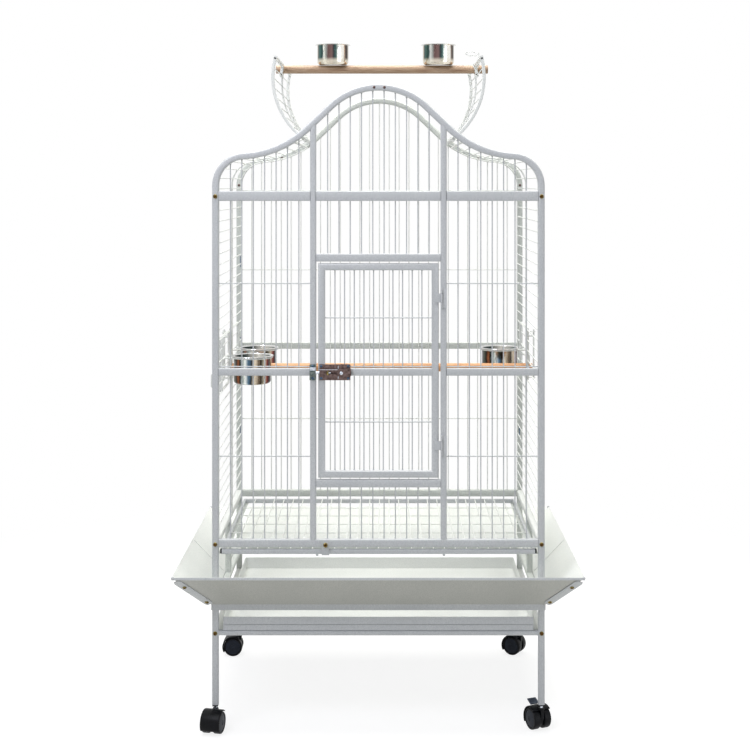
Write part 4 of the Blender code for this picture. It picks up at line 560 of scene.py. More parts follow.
for side, ends in ((-1, (-1, 1)), (1, (1,))):
    shapes = [swept([(-HALF_WIDTH + TUBE / 2, y, sum(FLOOR_RAIL) / 2)
                     for y in (FRONT_FACE + TUBE, BACK_FACE - TUBE)],
                    square_bar(TUBE, FLOOR_RAIL[1] - FLOOR_RAIL[0], TUBE_CORNER))]
    for y in (FRONT_FACE + SIDE_HOOP_SETBACK, BACK_FACE - SIDE_HOOP_SETBACK):
        shapes.append(swept([(x, y, z) for x, z in wall_line], round_bar(WIRE / 2)))
    for y in (-MIDDLE_HOOP_SPREAD / 2, MIDDLE_HOOP_SPREAD / 2):
        line = side_wall(SIDE_ROD_INSET + WIRE)
        shapes.append(swept([(x, y, z) for x, z in line], round_bar(WIRE / 2)))
    front, back = FRONT_FACE + SIDE_HOOP_SETBACK, BACK_FACE - SIDE_HOOP_SETBACK
    edges = sorted(sorted(feeder_uprights(end)) for end in ends)
    for x, z in side_rods:
        stops = [front]
        if feeder_low < z < feeder_high:
            stops += [stop for pair in edges for stop in pair]
        stops.append(back)
        for start, stop in zip(stops[::2], stops[1::2]):
            shapes.append(swept([(x, start, z), (x, stop, z)], round_bar(WIRE / 2)))
    for end in ends:
        hinge_y, far_y = feeder_uprights(end)
        for y in (hinge_y, far_y):
            shapes.append(swept([(wall_x, y, feeder_low), (wall_x, y, feeder_high)],
                                round_bar(FEEDER_FRAME / 2, 10)))
        axis = feeder_hinge(-1, end)
        for z in (feeder_low + FEEDER_EYE_HEIGHT, feeder_high - FEEDER_EYE_HEIGHT):
            eye = (axis.x, axis.y, z)
            shapes.append(ring_of_wire(eye, (0, 0, 1), FEEDER_EYE_RADIUS, FEEDER_EYE_WIRE, 16))
            arm = [(axis.x + FEEDER_EYE_RADIUS, axis.y, z), (wall_x, axis.y, z), (wall_x, hinge_y, z)]
            shapes.append(swept(arm, round_bar(FEEDER_ARM_RADIUS)))
    x, z = wall_line[-1]
    shapes.append(swept([(x, y, z) for y in (front - WIRE, back + WIRE)], round_bar(SHOULDER_RAIL / 2, 12)))
    bend_out, bend_down = ROOF_ARM_BEND
    for y in ROOF_EYE_PLACES:
        eye = (-ROOF_HINGE_X, y, ROOF_HINGE_Z)
        shapes.append(ring_of_wire(eye, (0, 1, 0), ROOF_EYE_RADIUS, ROOF_EYE_WIRE, 20))
        for shift in (-ROOF_ARM_SPREAD, ROOF_ARM_SPREAD):
            arm = [(x, y + shift, z), (-ROOF_HINGE_X - bend_out, y + shift, ROOF_HINGE_Z - bend_down),
                   (-ROOF_HINGE_X - ROOF_EYE_RADIUS, y + shift * 0.5, ROOF_HINGE_Z)]
            shapes.append(swept(arm, round_bar(ROOF_EYE_WIRE / 2)))
    name = "left" if side < 0 else "right"
    add_piece(f"{name}_side_wires", [mirrored(shape, side) for shape in shapes], white_coat, "cage",
              [f"{name}_side_panel"])

# Main door: a mitred frame of square tube with a middle rail, wires like the front's, and the
# moving leaf and knuckle of each of its two hinges on the right.
DOOR_SIDE_GAP = 0.0048
DOOR_END_GAP = 0.0045
DOOR_FRAME_WIDTH = 0.017
DOOR_BAR_COUNT = 10
DOOR_WIRE_HEIGHTS = (0.754, 1.009)
HINGE_HEIGHTS = (0.698, 1.058)
HINGE_LENGTH = 0.048
KNUCKLE_RADIUS = 0.0026
KNUCKLE_GAP = 0.001
PIN_RADIUS = 0.0011
PIN_HOLE = 0.0013
LEAF_WIDTH = 0.010
LEAF_THICKNESS = 0.0014
# The radius at which a turned profile closes on its axis.
AT_AXIS = 0.00001
hinge_x = DOORWAY_HALF + KNUCKLE_RADIUS
hinge_y = FRONT_FACE - KNUCKLE_RADIUS + 0.0002


def plate(x_range, y_range, z_range, corner=0.0006):
    """Return a flat plate or block with softened edges."""
    (x_low, x_high), (y_low, y_high), (z_low, z_high) = (sorted(pair) for pair in (x_range, y_range, z_range))
    build = bmesh.new()
    bmesh.ops.create_cube(build, size=1.0)
    for corner_point in build.verts:
        corner_point.co = Vector((
            x_low if corner_point.co.x < 0 else x_high,
            y_low if corner_point.co.y < 0 else y_high,
            z_low if corner_point.co.z < 0 else z_high))
    least = min(x_high - x_low, y_high - y_low, z_high - z_low)
    bmesh.ops.bevel(build, geom=build.edges, offset=min(corner, least * 0.45), segments=2, profile=0.7,
                    affect="EDGES")
    build.verts.index_update()
    shape = [vert.co.copy() for vert in build.verts], [[v.index for v in face.verts] for face in build.faces]
    build.free()
    return shape


def turned(profile, place, axis=(0, 0, 1), sides=32):
    """Spin a closed profile of (radius, distance along) about an axis through a place."""
    axis = Vector(axis).normalized()
    first = axis.orthogonal().normalized()
    second = axis.cross(first)
    rings = []
    for index in range(sides):
        angle = math.tau * index / sides
        spoke = first * math.cos(angle) + second * math.sin(angle)
        rings.append([Vector(place) + spoke * radius + axis * along for radius, along in profile])
    return loft(rings, closed=True)


def barrel(radius, low, high, chamfer=0.0004, core=0.0):
    """Return the profile of a pin or knuckle with chamfered ends, bored where a core is given."""
    inner = max(core, AT_AXIS)
    return [(inner, low), (radius - chamfer, low), (radius, low + chamfer), (radius, high - chamfer),
            (radius - chamfer, high), (inner, high)]


door_half = DOORWAY_HALF - DOOR_SIDE_GAP
door_low, door_high = DOORWAY[0] + DOOR_END_GAP, DOORWAY[1] - DOOR_END_GAP
middle = DOOR_FRAME_WIDTH / 2
frame_y = FRONT_FACE + TUBE / 2
corners = [(-door_half + middle, door_low + middle), (door_half - middle, door_low + middle),
           (door_half - middle, door_high - middle), (-door_half + middle, door_high - middle)]
door_inner = door_half - DOOR_FRAME_WIDTH
door_tubes = [swept([(x, frame_y, z) for x, z in corners],
                    square_bar(TUBE - THINNER, DOOR_FRAME_WIDTH, TUBE_CORNER), closed=True),
              level_rail((-door_inner - RUN_IN, door_inner + RUN_IN), MIDDLE_RAIL, -1)]
leaf_depth = (FRONT_FACE - 0.0001, FRONT_FACE - LEAF_THICKNESS)
quarter = HINGE_LENGTH / 4 - KNUCKLE_GAP
knuckle = barrel(KNUCKLE_RADIUS, -quarter, quarter, core=PIN_HOLE)
for height in HINGE_HEIGHTS:
    door_tubes.append(turned(knuckle, (hinge_x, hinge_y, height)))
    door_tubes.append(plate((door_half - LEAF_WIDTH, hinge_x - PIN_HOLE - SEAT_GAP), leaf_depth,
                            (height - quarter, height + quarter)))
# The door takes the silver copy of the coat as well: painted shade.
add_piece("door_tubes", door_tubes, painted_shade_silver_coat, "main_door", ["main_door"])
door_wires = [cross_wire((-door_inner, door_inner), z, -1) for z in (*DOOR_WIRE_HEIGHTS, MIDDLE_WIRE_HEIGHT)]
door_pitch = 2 * door_inner / (DOOR_BAR_COUNT + 1)
for index in range(DOOR_BAR_COUNT):
    x = -door_inner + door_pitch * (index + 1)
    door_wires += upright_wire(x, (door_low + DOOR_FRAME_WIDTH, door_high - DOOR_FRAME_WIDTH), -1)
add_piece("door_wires", door_wires, painted_shade_silver_coat, "main_door")

# Door hinges: the fixed leaf of each lies on the inner post, with two knuckles and the pin that
# runs through all three.
half = HINGE_LENGTH / 2
quarter = HINGE_LENGTH / 4 + 0.0004
knuckles = ((-half, -quarter), (quarter, half))
knuckle_edge = hinge_x + KNUCKLE_RADIUS
leaf_front = FRONT_FACE - LEAF_THICKNESS
pin = [(AT_AXIS, -half), (PIN_RADIUS, -half), (PIN_RADIUS, half), (PIN_RADIUS + 0.0008, half + 0.0002),
       (PIN_RADIUS + 0.0005, half + 0.0010), (AT_AXIS, half + 0.0013)]
for name, height in zip(("lower", "upper"), HINGE_HEIGHTS):
    shapes = [plate((hinge_x + 0.0012, knuckle_edge + 0.002), (FRONT_FACE - 0.0004, leaf_front + 0.0002),
                    (height + low + 0.0002, height + high - 0.0002)) for low, high in knuckles]
    shapes.append(plate((knuckle_edge + 0.001, knuckle_edge + LEAF_WIDTH), (FRONT_FACE - 0.0002, leaf_front),
                        (height - half, height + half)))
    for low, high in knuckles:
        shapes.append(turned(barrel(KNUCKLE_RADIUS, low, high, core=PIN_HOLE), (hinge_x, hinge_y, height)))
    shapes.append(turned(pin, (hinge_x, hinge_y, height)))
    add_piece(f"{name}_hinge_leaf", shapes, painted_shade_silver_coat, "cage", [f"{name}_door_hinge"])

# Slam latch: a plate of dark bronze-plated steel on the door under a hollow pressing, in which a
# nickel-plated bolt slides by its half-round brass-coloured knob, and a dull plated keeper strap on
# the inner post. A bright nickel plate across the keeper's top and thin nickel strips on the housing
# are painted highlights.
LATCH_Z = 0.877
LATCH_PLATE = (0.076, 0.039)
PLATE_THICKNESS = 0.002
LATCH_CASE = (0.017, 0.010)
BOLT_RADIUS = 0.0030
BOLT_REACH = 0.010
BOLT_LENGTH = 0.046
KNOB_SETBACK = 0.022
BOLT_TRAVEL = 0.0165
KEEPER_WIDTH = 0.0155
SLOT_HALF = 0.0033
SLOT_END = 0.0045
SLOT_LAP = 0.002
CASE_WALL = 0.0016
CASE_OVERHANG = 0.002
RIDGE = (0.0012, 0.0006)
BAND = (0.0012, 0.0030)
STRAP_INSET = 0.002
KEEPER_HIGHLIGHT = (0.0030, 0.0050)
PLATE_EDGE = 0.0009
CASE_EDGE = 0.0012
WALL_EDGE = 0.0004
HIGHLIGHT_CORNER = 0.0003
SINK = 0.0001
HIGHLIGHT_LINE_END = -0.0990
HIGHLIGHT_LINE_LEVELS = (0.8840, 0.8852)
HIGHLIGHT_STRIP = (-0.0988, -0.0974)
HIGHLIGHT_STRIP_HALF = 0.0160
PLATE_SCREW_INSET = (0.0046, 0.0050)
PLATE_SCREW = (0.0033, 0.0012)
CASE_SCREW_X = -0.0903
CASE_SCREW = (0.0039, 0.0014)
KNOB_RADIUS = 0.0050
KNOB_FLAT = -0.25
KNOB_RINGS = ((0.0, 0.80), (0.0012, 1.0), (0.0070, 1.0), (0.0086, 0.82))
latch_left = -DOORWAY_HALF + DOOR_SIDE_GAP + 0.003
latch_right = latch_left + LATCH_PLATE[0]
latch_back = FRONT_FACE - SEAT_GAP
latch_front = latch_back - PLATE_THICKNESS
bolt_y = latch_front - LATCH_CASE[1] / 2
knob_x = latch_left + KNOB_SETBACK


def plated(name, slot, low_tint, high_tint, roughness, mottle):
    """Plated metal: the tint wanders over it, and fine scratches spread its highlights."""
    material, tree, place = start_material(name, slot)
    cloud = add_node(tree, "ShaderNodeTexNoise", {"Vector": place, "Scale": 1 / mottle, "Detail": 3.0})
    share = add_node(tree, "ShaderNodeMapRange", {
        "Value": cloud.outputs[0], "From Min": 0.34, "From Max": 0.66})
    tint = add_node(tree, "ShaderNodeMix", {
        0: share.outputs[0], 6: linear(low_tint), 7: linear(high_tint)}, data_type="RGBA")
    # Real scratches are finer than this, and are drawn half a millimetre wide so that they show.
    scratch_width = 0.0005
    scratches = add_node(tree, "ShaderNodeTexNoise", {
        "Vector": place, "Scale": 1 / scratch_width, "Detail": 2.0})
    rough = add_node(tree, "ShaderNodeMapRange", {
        "Value": scratches.outputs[0], "To Min": roughness * 0.7, "To Max": roughness * 1.4})
    relief = add_node(tree, "ShaderNodeBump", {
        "Height": scratches.outputs[0], "Strength": 0.12, "Distance": 0.0002})
    shader = add_node(tree, "ShaderNodeBsdfPrincipled", {
        "Base Color": tint.outputs[2], "Metallic": 1.0, "Roughness": rough.outputs[0],
        "Normal": relief.outputs[0]})
    add_node(tree, "ShaderNodeOutputMaterial", {"Surface": shader.outputs[0]})
    return material


# Bronze plating is brown and soft, nickel is a bright cool mirror, thin zinc is a dull green grey,
# blued screws are near black, and yellow chromate over zinc shifts between straw and olive, with
# russet where it has pooled in a recess, drawn near black there as painted shade.
bronze_plate = plated("dark_plated_steel", "dark_plated_steel", "#4E403E", "#7A6865", 0.42, 0.006)
nickel_plate = plated("bright_plated_steel", "bright_plated_steel", "#B9C0CC", "#DDE2EA", 0.16, 0.004)
dull_plate = plated("dull_plated_steel", "dark_plated_steel", "#45504F", "#77807C", 0.36, 0.005)
blued_screw = plated("blued_steel", "dark_plated_steel", "#2C3440", "#5F7892", 0.30, 0.003)
yellow_zinc = plated("yellow_zinc", "yellow_zinc", "#463E22", "#A18E58", 0.24, 0.003)
russet_and_recess_shade_zinc = plated("russet_and_recess_shade_zinc", "yellow_zinc", "#24120A", "#54301A", 0.34, 0.002)


def screw_head(place, facing, radius, rise, recess=0.55):
    """Return a domed screw head with a cross recess, seated at a place and facing a way."""
    facing = Vector(facing).normalized()
    first = facing.orthogonal().normalized()
    second = facing.cross(first)
    sides, levels = 24, 7
    arm, reach = radius * 0.17, radius * recess
    rings = [[Vector(place) + (first * math.cos(angle) + second * math.sin(angle)) * radius
              for angle in (math.tau * index / sides for index in range(sides))]]
    for level in range(levels):
        share = 1 - level / levels
        ring = []
        for index in range(sides):
            angle = math.tau * index / sides
            u, v = math.cos(angle) * radius * share, math.sin(angle) * radius * share
            height = rise * (0.35 + 0.65 * math.sqrt(max(0.0, 1 - share * share)))
            if math.hypot(u, v) < reach and min(abs(u), abs(v)) < arm:
                height -= rise * 0.55
            ring.append(Vector(place) + first * u + second * v + facing * height)
        rings.append(ring)
    return loft(rings)


case_half = LATCH_CASE[0] / 2
case_face = latch_front - LATCH_CASE[1]
case_left, case_right = latch_left + 0.0005, latch_right + CASE_OVERHANG
slot_left, slot_right = knob_x - SLOT_END, knob_x + BOLT_TRAVEL + SLOT_END
plate_levels = (LATCH_Z - LATCH_PLATE[1] / 2, LATCH_Z + LATCH_PLATE[1] / 2)
slot_levels = (LATCH_Z - SLOT_HALF - SLOT_LAP, LATCH_Z + SLOT_HALF + SLOT_LAP)
case_top = LATCH_Z + case_half
case_depth = (latch_front, case_face)
wall_depth = (case_face + CASE_WALL, case_face)
case_shapes = [
    plate((latch_left, latch_right), (latch_back, latch_front), plate_levels, PLATE_EDGE),
    plate((case_left, case_right), case_depth, (LATCH_Z + SLOT_HALF, case_top), CASE_EDGE),
    plate((case_left, case_right), case_depth, (LATCH_Z - case_half, LATCH_Z - SLOT_HALF), CASE_EDGE),
    plate((case_left, slot_left), wall_depth, slot_levels, WALL_EDGE),
    plate((slot_right, case_right), wall_depth, slot_levels, WALL_EDGE),
    plate((case_right - 0.002, case_right), case_depth, slot_levels, WALL_EDGE),
    plate((case_left, case_right - 0.001), (wall_depth[0], case_face - 0.0005),
          (case_top - RIDGE[0], case_top + RIDGE[1]), 0.0006),
    plate([slot_right + edge for edge in BAND], (wall_depth[0], case_face - 0.0004),
          (LATCH_Z - case_half - 0.0004, case_top + 0.0004), 0.0005)]
add_piece("latch_plate_and_housing", case_shapes, bronze_plate, "main_door", ["latch_case"])
# Thin bright nickel strips along the housing's top and on the plate by its band: painted highlights.
latch_painted_highlights = [
    plate((latch_left + 0.0002, HIGHLIGHT_LINE_END), (case_face + 0.0006, case_face - 0.0007),
          HIGHLIGHT_LINE_LEVELS, HIGHLIGHT_CORNER),
    plate(HIGHLIGHT_STRIP, (latch_front + 0.0002, latch_front - 0.0012),
          (LATCH_Z - HIGHLIGHT_STRIP_HALF, LATCH_Z + HIGHLIGHT_STRIP_HALF), HIGHLIGHT_CORNER)]
add_piece("latch_painted_highlights", latch_painted_highlights, nickel_plate, "main_door")
heads = []
inset_x, inset_z = PLATE_SCREW_INSET
screw_levels = [LATCH_Z + sign * (LATCH_PLATE[1] / 2 - inset_z) for sign in (-1, 1)]
for x in (latch_left + inset_x, latch_right - inset_x - 0.001):
    heads += [screw_head((x, latch_front + SINK, z), (0, -1, 0), *PLATE_SCREW) for z in screw_levels]
add_piece("latch_plate_screws", heads, blued_screw, "main_door")
case_screw = screw_head((CASE_SCREW_X, case_face + 2 * SINK, LATCH_Z - 0.001), (0, -1, 0), *CASE_SCREW)
add_piece("latch_case_screw", [case_screw], nickel_plate, "main_door")
bolt_tip = latch_left - BOLT_REACH - DOOR_SIDE_GAP - 0.003
rod = [(AT_AXIS, 0.0), (BOLT_RADIUS - 0.0008, 0.0), (BOLT_RADIUS, 0.0010), (BOLT_RADIUS, BOLT_LENGTH),
       (AT_AXIS, BOLT_LENGTH)]
neck = barrel(BOLT_RADIUS * 0.8, 0.0, LATCH_CASE[1] / 2 + 0.0030)
bolt = [turned(rod, (bolt_tip, bolt_y, LATCH_Z), (1, 0, 0)),
        turned(neck, (knob_x, bolt_y, LATCH_Z), (0, -1, 0))]
add_piece("latch_bolt_rod", bolt, nickel_plate, "latch_bolt", ["latch_bolt"])
knob_rings = []
for distance, share in KNOB_RINGS:
    y = case_face - 0.0006 - distance
    ring = []
    for index in range(24):
        angle = math.tau * index / 24
        u = max(math.cos(angle), KNOB_FLAT) * KNOB_RADIUS * share
        ring.append((knob_x - u, y, LATCH_Z + math.sin(angle) * KNOB_RADIUS * share))
    knob_rings.append(ring)
add_piece("latch_knob", [loft(knob_rings)], yellow_zinc, "latch_bolt")
keeper_right = -DOORWAY_HALF - 2 * SEAT_GAP
keeper_left = keeper_right - KEEPER_WIDTH
# A bright nickel plate across the top of the keeper strap: a painted highlight.
keeper_highlight = plate((keeper_left + 0.0010, keeper_right), (latch_front + 0.0004, case_face - 0.0005),
               (case_top - KEEPER_HIGHLIGHT[0], case_top + KEEPER_HIGHLIGHT[1]), CASE_EDGE)
add_piece("keeper_painted_highlight", [keeper_highlight], nickel_plate, "cage")
strap_ends = (keeper_left + STRAP_INSET, keeper_right - SEAT_GAP)
keeper_shapes = [plate((keeper_left, keeper_right), (latch_back, latch_front), plate_levels, PLATE_EDGE)]
for low, high in ((SLOT_HALF, case_half), (-case_half, -SLOT_HALF)):
    keeper_shapes.append(plate(strap_ends, case_depth, (LATCH_Z + low, LATCH_Z + high), CASE_EDGE))
keeper_shapes.append(plate(strap_ends, (case_face + CASE_EDGE, case_face - SEAT_GAP),
                           (LATCH_Z - case_half, case_top), 0.0006))
add_piece("latch_keeper_strap", keeper_shapes, dull_plate, "cage", ["latch_keeper"])
keeper_middle = (keeper_left + keeper_right) / 2
heads = [screw_head((keeper_middle, latch_front + SINK, z), (0, -1, 0), *PLATE_SCREW) for z in screw_levels]
add_piece("latch_keeper_screws", heads, blued_screw, "cage")

# Frame screws: yellow zinc-plated pan heads with a cross recess, which tie the stand and the
# front frame together through the posts.
SCREW_HEIGHTS = (0.239, 0.456, 1.306)
SCREW_RADIUS = 0.0052
SCREW_RISE = 0.0028
WIDE_RECESS = 0.75
# Half width and half height of a recess's two arms, the level one first.
CROSS_ARMS = ((0.0036, 0.0011), (0.0011, 0.0036))
CROSS_DEPTHS = (0.0004, 0.0024)
CROSS_CORNER = 0.0002
number = 0
for height in SCREW_HEIGHTS:
    for side in (-1, 1):
        number += 1
        x, y = side * (HALF_WIDTH - TUBE / 2), FRONT_FACE - SINK
        head = screw_head((x, y, height), (0, -1, 0), SCREW_RADIUS, SCREW_RISE, WIDE_RECESS)
        add_piece(f"pan_head_{number}", [head], yellow_zinc, "cage", [f"frame_screw_{number}"])
        # The cross recess is filled by a near-black russet cross: pooled chromate and painted shade.
        back, front = y - CROSS_DEPTHS[0], y - CROSS_DEPTHS[1]
        # The level arm stands a hair further out, so that the two fronts share no plane.
        cross = [plate((x - u, x + u), (back, front - u / 10), (height - v, height + v), CROSS_CORNER)
                 for u, v in CROSS_ARMS]
        add_piece(f"pan_head_cross_{number}", cross, russet_and_recess_shade_zinc, "cage")

# Small fittings: two screws near the arch's top, one at each shoulder of the back frame and one at
# the top of each back post, with bronze heads; black plugs close the slots in the back posts.
ARCH_SCREWS = (-0.0105, 0.0145)
SHOULDER_SCREWS = (-0.2775, 0.2810)
POST_SCREWS = (-0.3990, 0.3990)
SMALL_SCREW = (0.0036, 0.0014)
SLOT_PLUG_HALF = 0.0015
# X of each plug, and the heights of its lower and upper end.
SLOT_PLUGS = (
    (-0.3945, 1.101, 1.132), (-0.3945, 0.894, 0.902), (-0.3945, 0.624, 0.652), (0.3970, 0.624, 0.652))
back_inside = BACK_FACE - TUBE
places = [(x, FRONT_FACE, arch_height(x, TUBE / 2)) for x in ARCH_SCREWS]
places += [(x, back_inside, arch_height(x, TUBE / 2)) for x in SHOULDER_SCREWS]
places += [(x, back_inside, CORNER_TOP) for x in POST_SCREWS]
small_heads = [screw_head((x, y + SINK, z), (0, -1, 0), *SMALL_SCREW) for x, y, z in places]
add_piece("bronze_screws", small_heads, bronze_plate, "cage")
plug_depth = (back_inside - 0.0008, back_inside + 0.002)
slot_plugs = [plate((x - SLOT_PLUG_HALF, x + SLOT_PLUG_HALF), plug_depth, (low, high), 0.0006)
              for x, low, high in SLOT_PLUGS]
add_piece("slot_plugs", slot_plugs, blued_screw, "cage")

# Feeder doors: a rectangle of 4 mm wire with a bar at ring height and thinner wires across it,
# hung on a pin in the side panel's two eyes, with a welded ring that holds the bowl inside.
BOWL_RADIUS = 0.048
BOWL_RIM_RADIUS = 0.0545
BOWL_RIM_TOP = 0.895
BOWL_HEIGHT = 0.072
BOWL_WALL = 0.0012
BOWL_INSET = 0.080
BOWL_OFFSET = 0.080
RING_RADIUS = 0.0515
RING_HEIGHT = 0.8903
RING_ARM_SPREAD = 0.030
FEEDER_PIN_RADIUS = 0.0022
PIN_TIP_RADIUS = 0.0016
PIN_OVERHANG = 0.006
PIN_CHAMFER = 0.0008
HINGE_ARM_INSET = 0.012
HINGE_ARM_RADIUS = 0.0019
FEEDER_PULL_REACH = 0.0215
FEEDER_PULL_HEIGHT = 0.035
FEEDER_PULL_MIDDLE = 0.844
FEEDER_PULL_BEND = 0.006
door_x = wall_x - FEEDER_FRAME - 2 * SEAT_GAP


def rounded(path, radius):
    """Round the inner corners of a path of points."""
    steps = 5
    out = [path[0]]
    for before, corner, after in zip(path, path[1:], path[2:]):
        start = corner + (before - corner).normalized() * radius
        stop = corner + (after - corner).normalized() * radius
        for step in range(steps + 1):
            share = step / steps
            out.append(start * (1 - share) ** 2 + corner * 2 * share * (1 - share) + stop * share ** 2)
    return out + [path[-1]]


def bowl_place(side, end):
    """Return the middle of a bowl at the height of the floor."""
    hinge = feeder_hinge(side, end)
    return Vector((side * (HALF_WIDTH - BOWL_INSET), hinge.y + end * BOWL_OFFSET, 0.0))


outer_wire = round_bar(FEEDER_FRAME / 2, 10)
low, high = feeder_low, feeder_high
for (side, end), name in FEEDER_NAMES.items():
    hinge_y, far_y = feeder_uprights(end)
    near = hinge_y + end * FEEDER_FRAME
    shapes = [swept([(door_x, near, low), (door_x, near, high)], outer_wire),
              swept([(door_x, far_y, low), (door_x, far_y, high)], outer_wire)]
    for z in (low, high, RING_HEIGHT):
        shapes.append(swept([(door_x, near, z), (door_x, far_y, z)], outer_wire))
    pitch = (high - low) / FEEDER_ROD_COUNT
    for index in range(1, FEEDER_ROD_COUNT):
        z = low + pitch * index
        if abs(z - RING_HEIGHT) > FEEDER_FRAME * 2:
            shapes.append(swept([(door_x, near, z), (door_x, far_y, z)], round_bar(WIRE / 2)))
    centre = bowl_place(-1, end)
    shapes.append(ring_of_wire((centre.x, centre.y, RING_HEIGHT), (0, 0, 1), RING_RADIUS, FEEDER_FRAME, 48))
    for shift in (-RING_ARM_SPREAD, RING_ARM_SPREAD):
        reach = centre.x - math.sqrt(RING_RADIUS ** 2 - shift ** 2)
        arm = [(x, centre.y + shift, RING_HEIGHT) for x in (door_x, reach)]
        shapes.append(swept(arm, outer_wire))
    axis = feeder_hinge(-1, end)
    eye_low, eye_high = low + FEEDER_EYE_HEIGHT, high - FEEDER_EYE_HEIGHT
    pin_low, pin_high = eye_low - PIN_OVERHANG, eye_high + PIN_OVERHANG
    pin = [(AT_AXIS, pin_low), (PIN_TIP_RADIUS, pin_low), (FEEDER_PIN_RADIUS, pin_low + PIN_CHAMFER),
           (FEEDER_PIN_RADIUS, pin_high - PIN_CHAMFER), (PIN_TIP_RADIUS, pin_high), (AT_AXIS, pin_high)]
    shapes.append(turned(pin, (axis.x, axis.y, 0.0), sides=14))
    for z in (eye_low + HINGE_ARM_INSET, eye_high - HINGE_ARM_INSET):
        arm = [(axis.x, axis.y, z), (door_x, axis.y + end * FEEDER_FRAME, z), (door_x, near, z)]
        shapes.append(swept(arm, round_bar(HINGE_ARM_RADIUS)))
    pull_y = far_y - end * FEEDER_FRAME / 2
    pull_x = door_x - FEEDER_PULL_REACH
    pull_low = FEEDER_PULL_MIDDLE - FEEDER_PULL_HEIGHT / 2
    pull = [Vector((x, pull_y, pull_low)) for x in (door_x, pull_x)]
    pull += [Vector((x, pull_y, pull_low + FEEDER_PULL_HEIGHT)) for x in (pull_x, door_x)]
    shapes.append(swept(rounded(pull, FEEDER_PULL_BEND), outer_wire))
    add_piece(f"{name}_feeder_wires", [mirrored(shape, side) for shape in shapes], white_coat,
              f"{name}_feeder_door", [f"{name}_feeder_door"])

# Bowls and cups: spun stainless steel with a flat turned-out rim and a round bottom corner, left
# as polished, with upright bands of dark and light on the wall as painted reflection. The bowls drop
# into the feeder doors' rings, and the cups stand on the play perch.
CUP_RADIUS = 0.041
CUP_RIM_RADIUS = 0.0465
CUP_HEIGHT = 0.054
CUP_PLACES = {"left": -0.122, "right": 0.157}
CUP_BASE = 1.6507
BOTTOM_CORNER = 0.008
RIM_TURN = 0.0034
RIM_UNDER = 0.0023
RIM_BEAD = 0.0011


def spun_steel(name, height, painted_reflection_tints, painted_perch_reflection):
    """Polished steel spun on a lathe: upright bands of painted reflection, a pale rim of painted highlight, a
    pale foot of painted reflection, and fine rings.
    """
    material, tree, place = start_material(name, "stainless_steel")
    wander_size, wander_share = 0.014, 0.022
    foot_from, foot_to = height * 0.18, height * 0.34
    rim_from, rim_to = height - RIM_TURN, height - 0.0022
    wander = add_node(tree, "ShaderNodeTexNoise", {"Vector": place, "Scale": 1 / wander_size, "Detail": 2.0})
    around = add_node(tree, "ShaderNodeTexGradient", {"Vector": place}, gradient_type="RADIAL")
    shifted = add_node(tree, "ShaderNodeMath", {
        0: wander.outputs[0], 1: wander_share, 2: around.outputs["Fac"]}, operation="MULTIPLY_ADD")
    # The bands round the axis are a painted reflection of the room.
    bands = add_node(tree, "ShaderNodeValToRGB", {"Fac": shifted.outputs[0]})
    stops = bands.color_ramp
    stops.elements[0].color = linear(painted_reflection_tints[0][1])
    stops.elements[1].color = linear(painted_reflection_tints[-1][1])
    for position, code in painted_reflection_tints[1:-1]:
        stops.elements.new(position).color = linear(code)
    level = add_node(tree, "ShaderNodeSeparateXYZ", {0: place})
    # Toward the foot the colour turns cream by the given share: a painted reflection of the perch, used on
    # the cups.
    foot = add_node(tree, "ShaderNodeMapRange", {
        "Value": level.outputs["Z"], "From Min": foot_from, "From Max": foot_to,
        "To Min": painted_perch_reflection, "To Max": 0.0})
    tint = add_node(tree, "ShaderNodeMix", {
        0: foot.outputs[0], 6: bands.outputs[0], 7: linear("#E9E0D0")}, data_type="RGBA")
    # The pale rim is a painted highlight.
    rim = add_node(tree, "ShaderNodeMapRange", {
        "Value": level.outputs["Z"], "From Min": rim_from, "From Max": rim_to, "To Max": 0.75})
    tint = add_node(tree, "ShaderNodeMix", {
        0: rim.outputs[0], 6: tint.outputs[2], 7: linear("#F4F4F2")}, data_type="RGBA")
    # The lathe's rings are finer, and are drawn nearly a millimetre apart so that they show.
    ring_spacing = 0.0009
    flat = add_node(tree, "ShaderNodeMapping", {"Vector": place, "Scale": (0.02, 0.02, 1.0)})
    lines = add_node(tree, "ShaderNodeTexNoise", {
        "Vector": flat.outputs[0], "Scale": 1 / ring_spacing, "Detail": 2.0})
    rough = add_node(tree, "ShaderNodeMapRange", {
        "Value": lines.outputs[0], "To Min": 0.06, "To Max": 0.20})
    relief = add_node(tree, "ShaderNodeBump", {
        "Height": lines.outputs[0], "Strength": 0.10, "Distance": 0.0002})
    shader = add_node(tree, "ShaderNodeBsdfPrincipled", {
        "Base Color": tint.outputs[2], "Metallic": 1.0, "Roughness": rough.outputs[0],
        "Normal": relief.outputs[0]})
    add_node(tree, "ShaderNodeOutputMaterial", {"Surface": shader.outputs[0]})
    return material


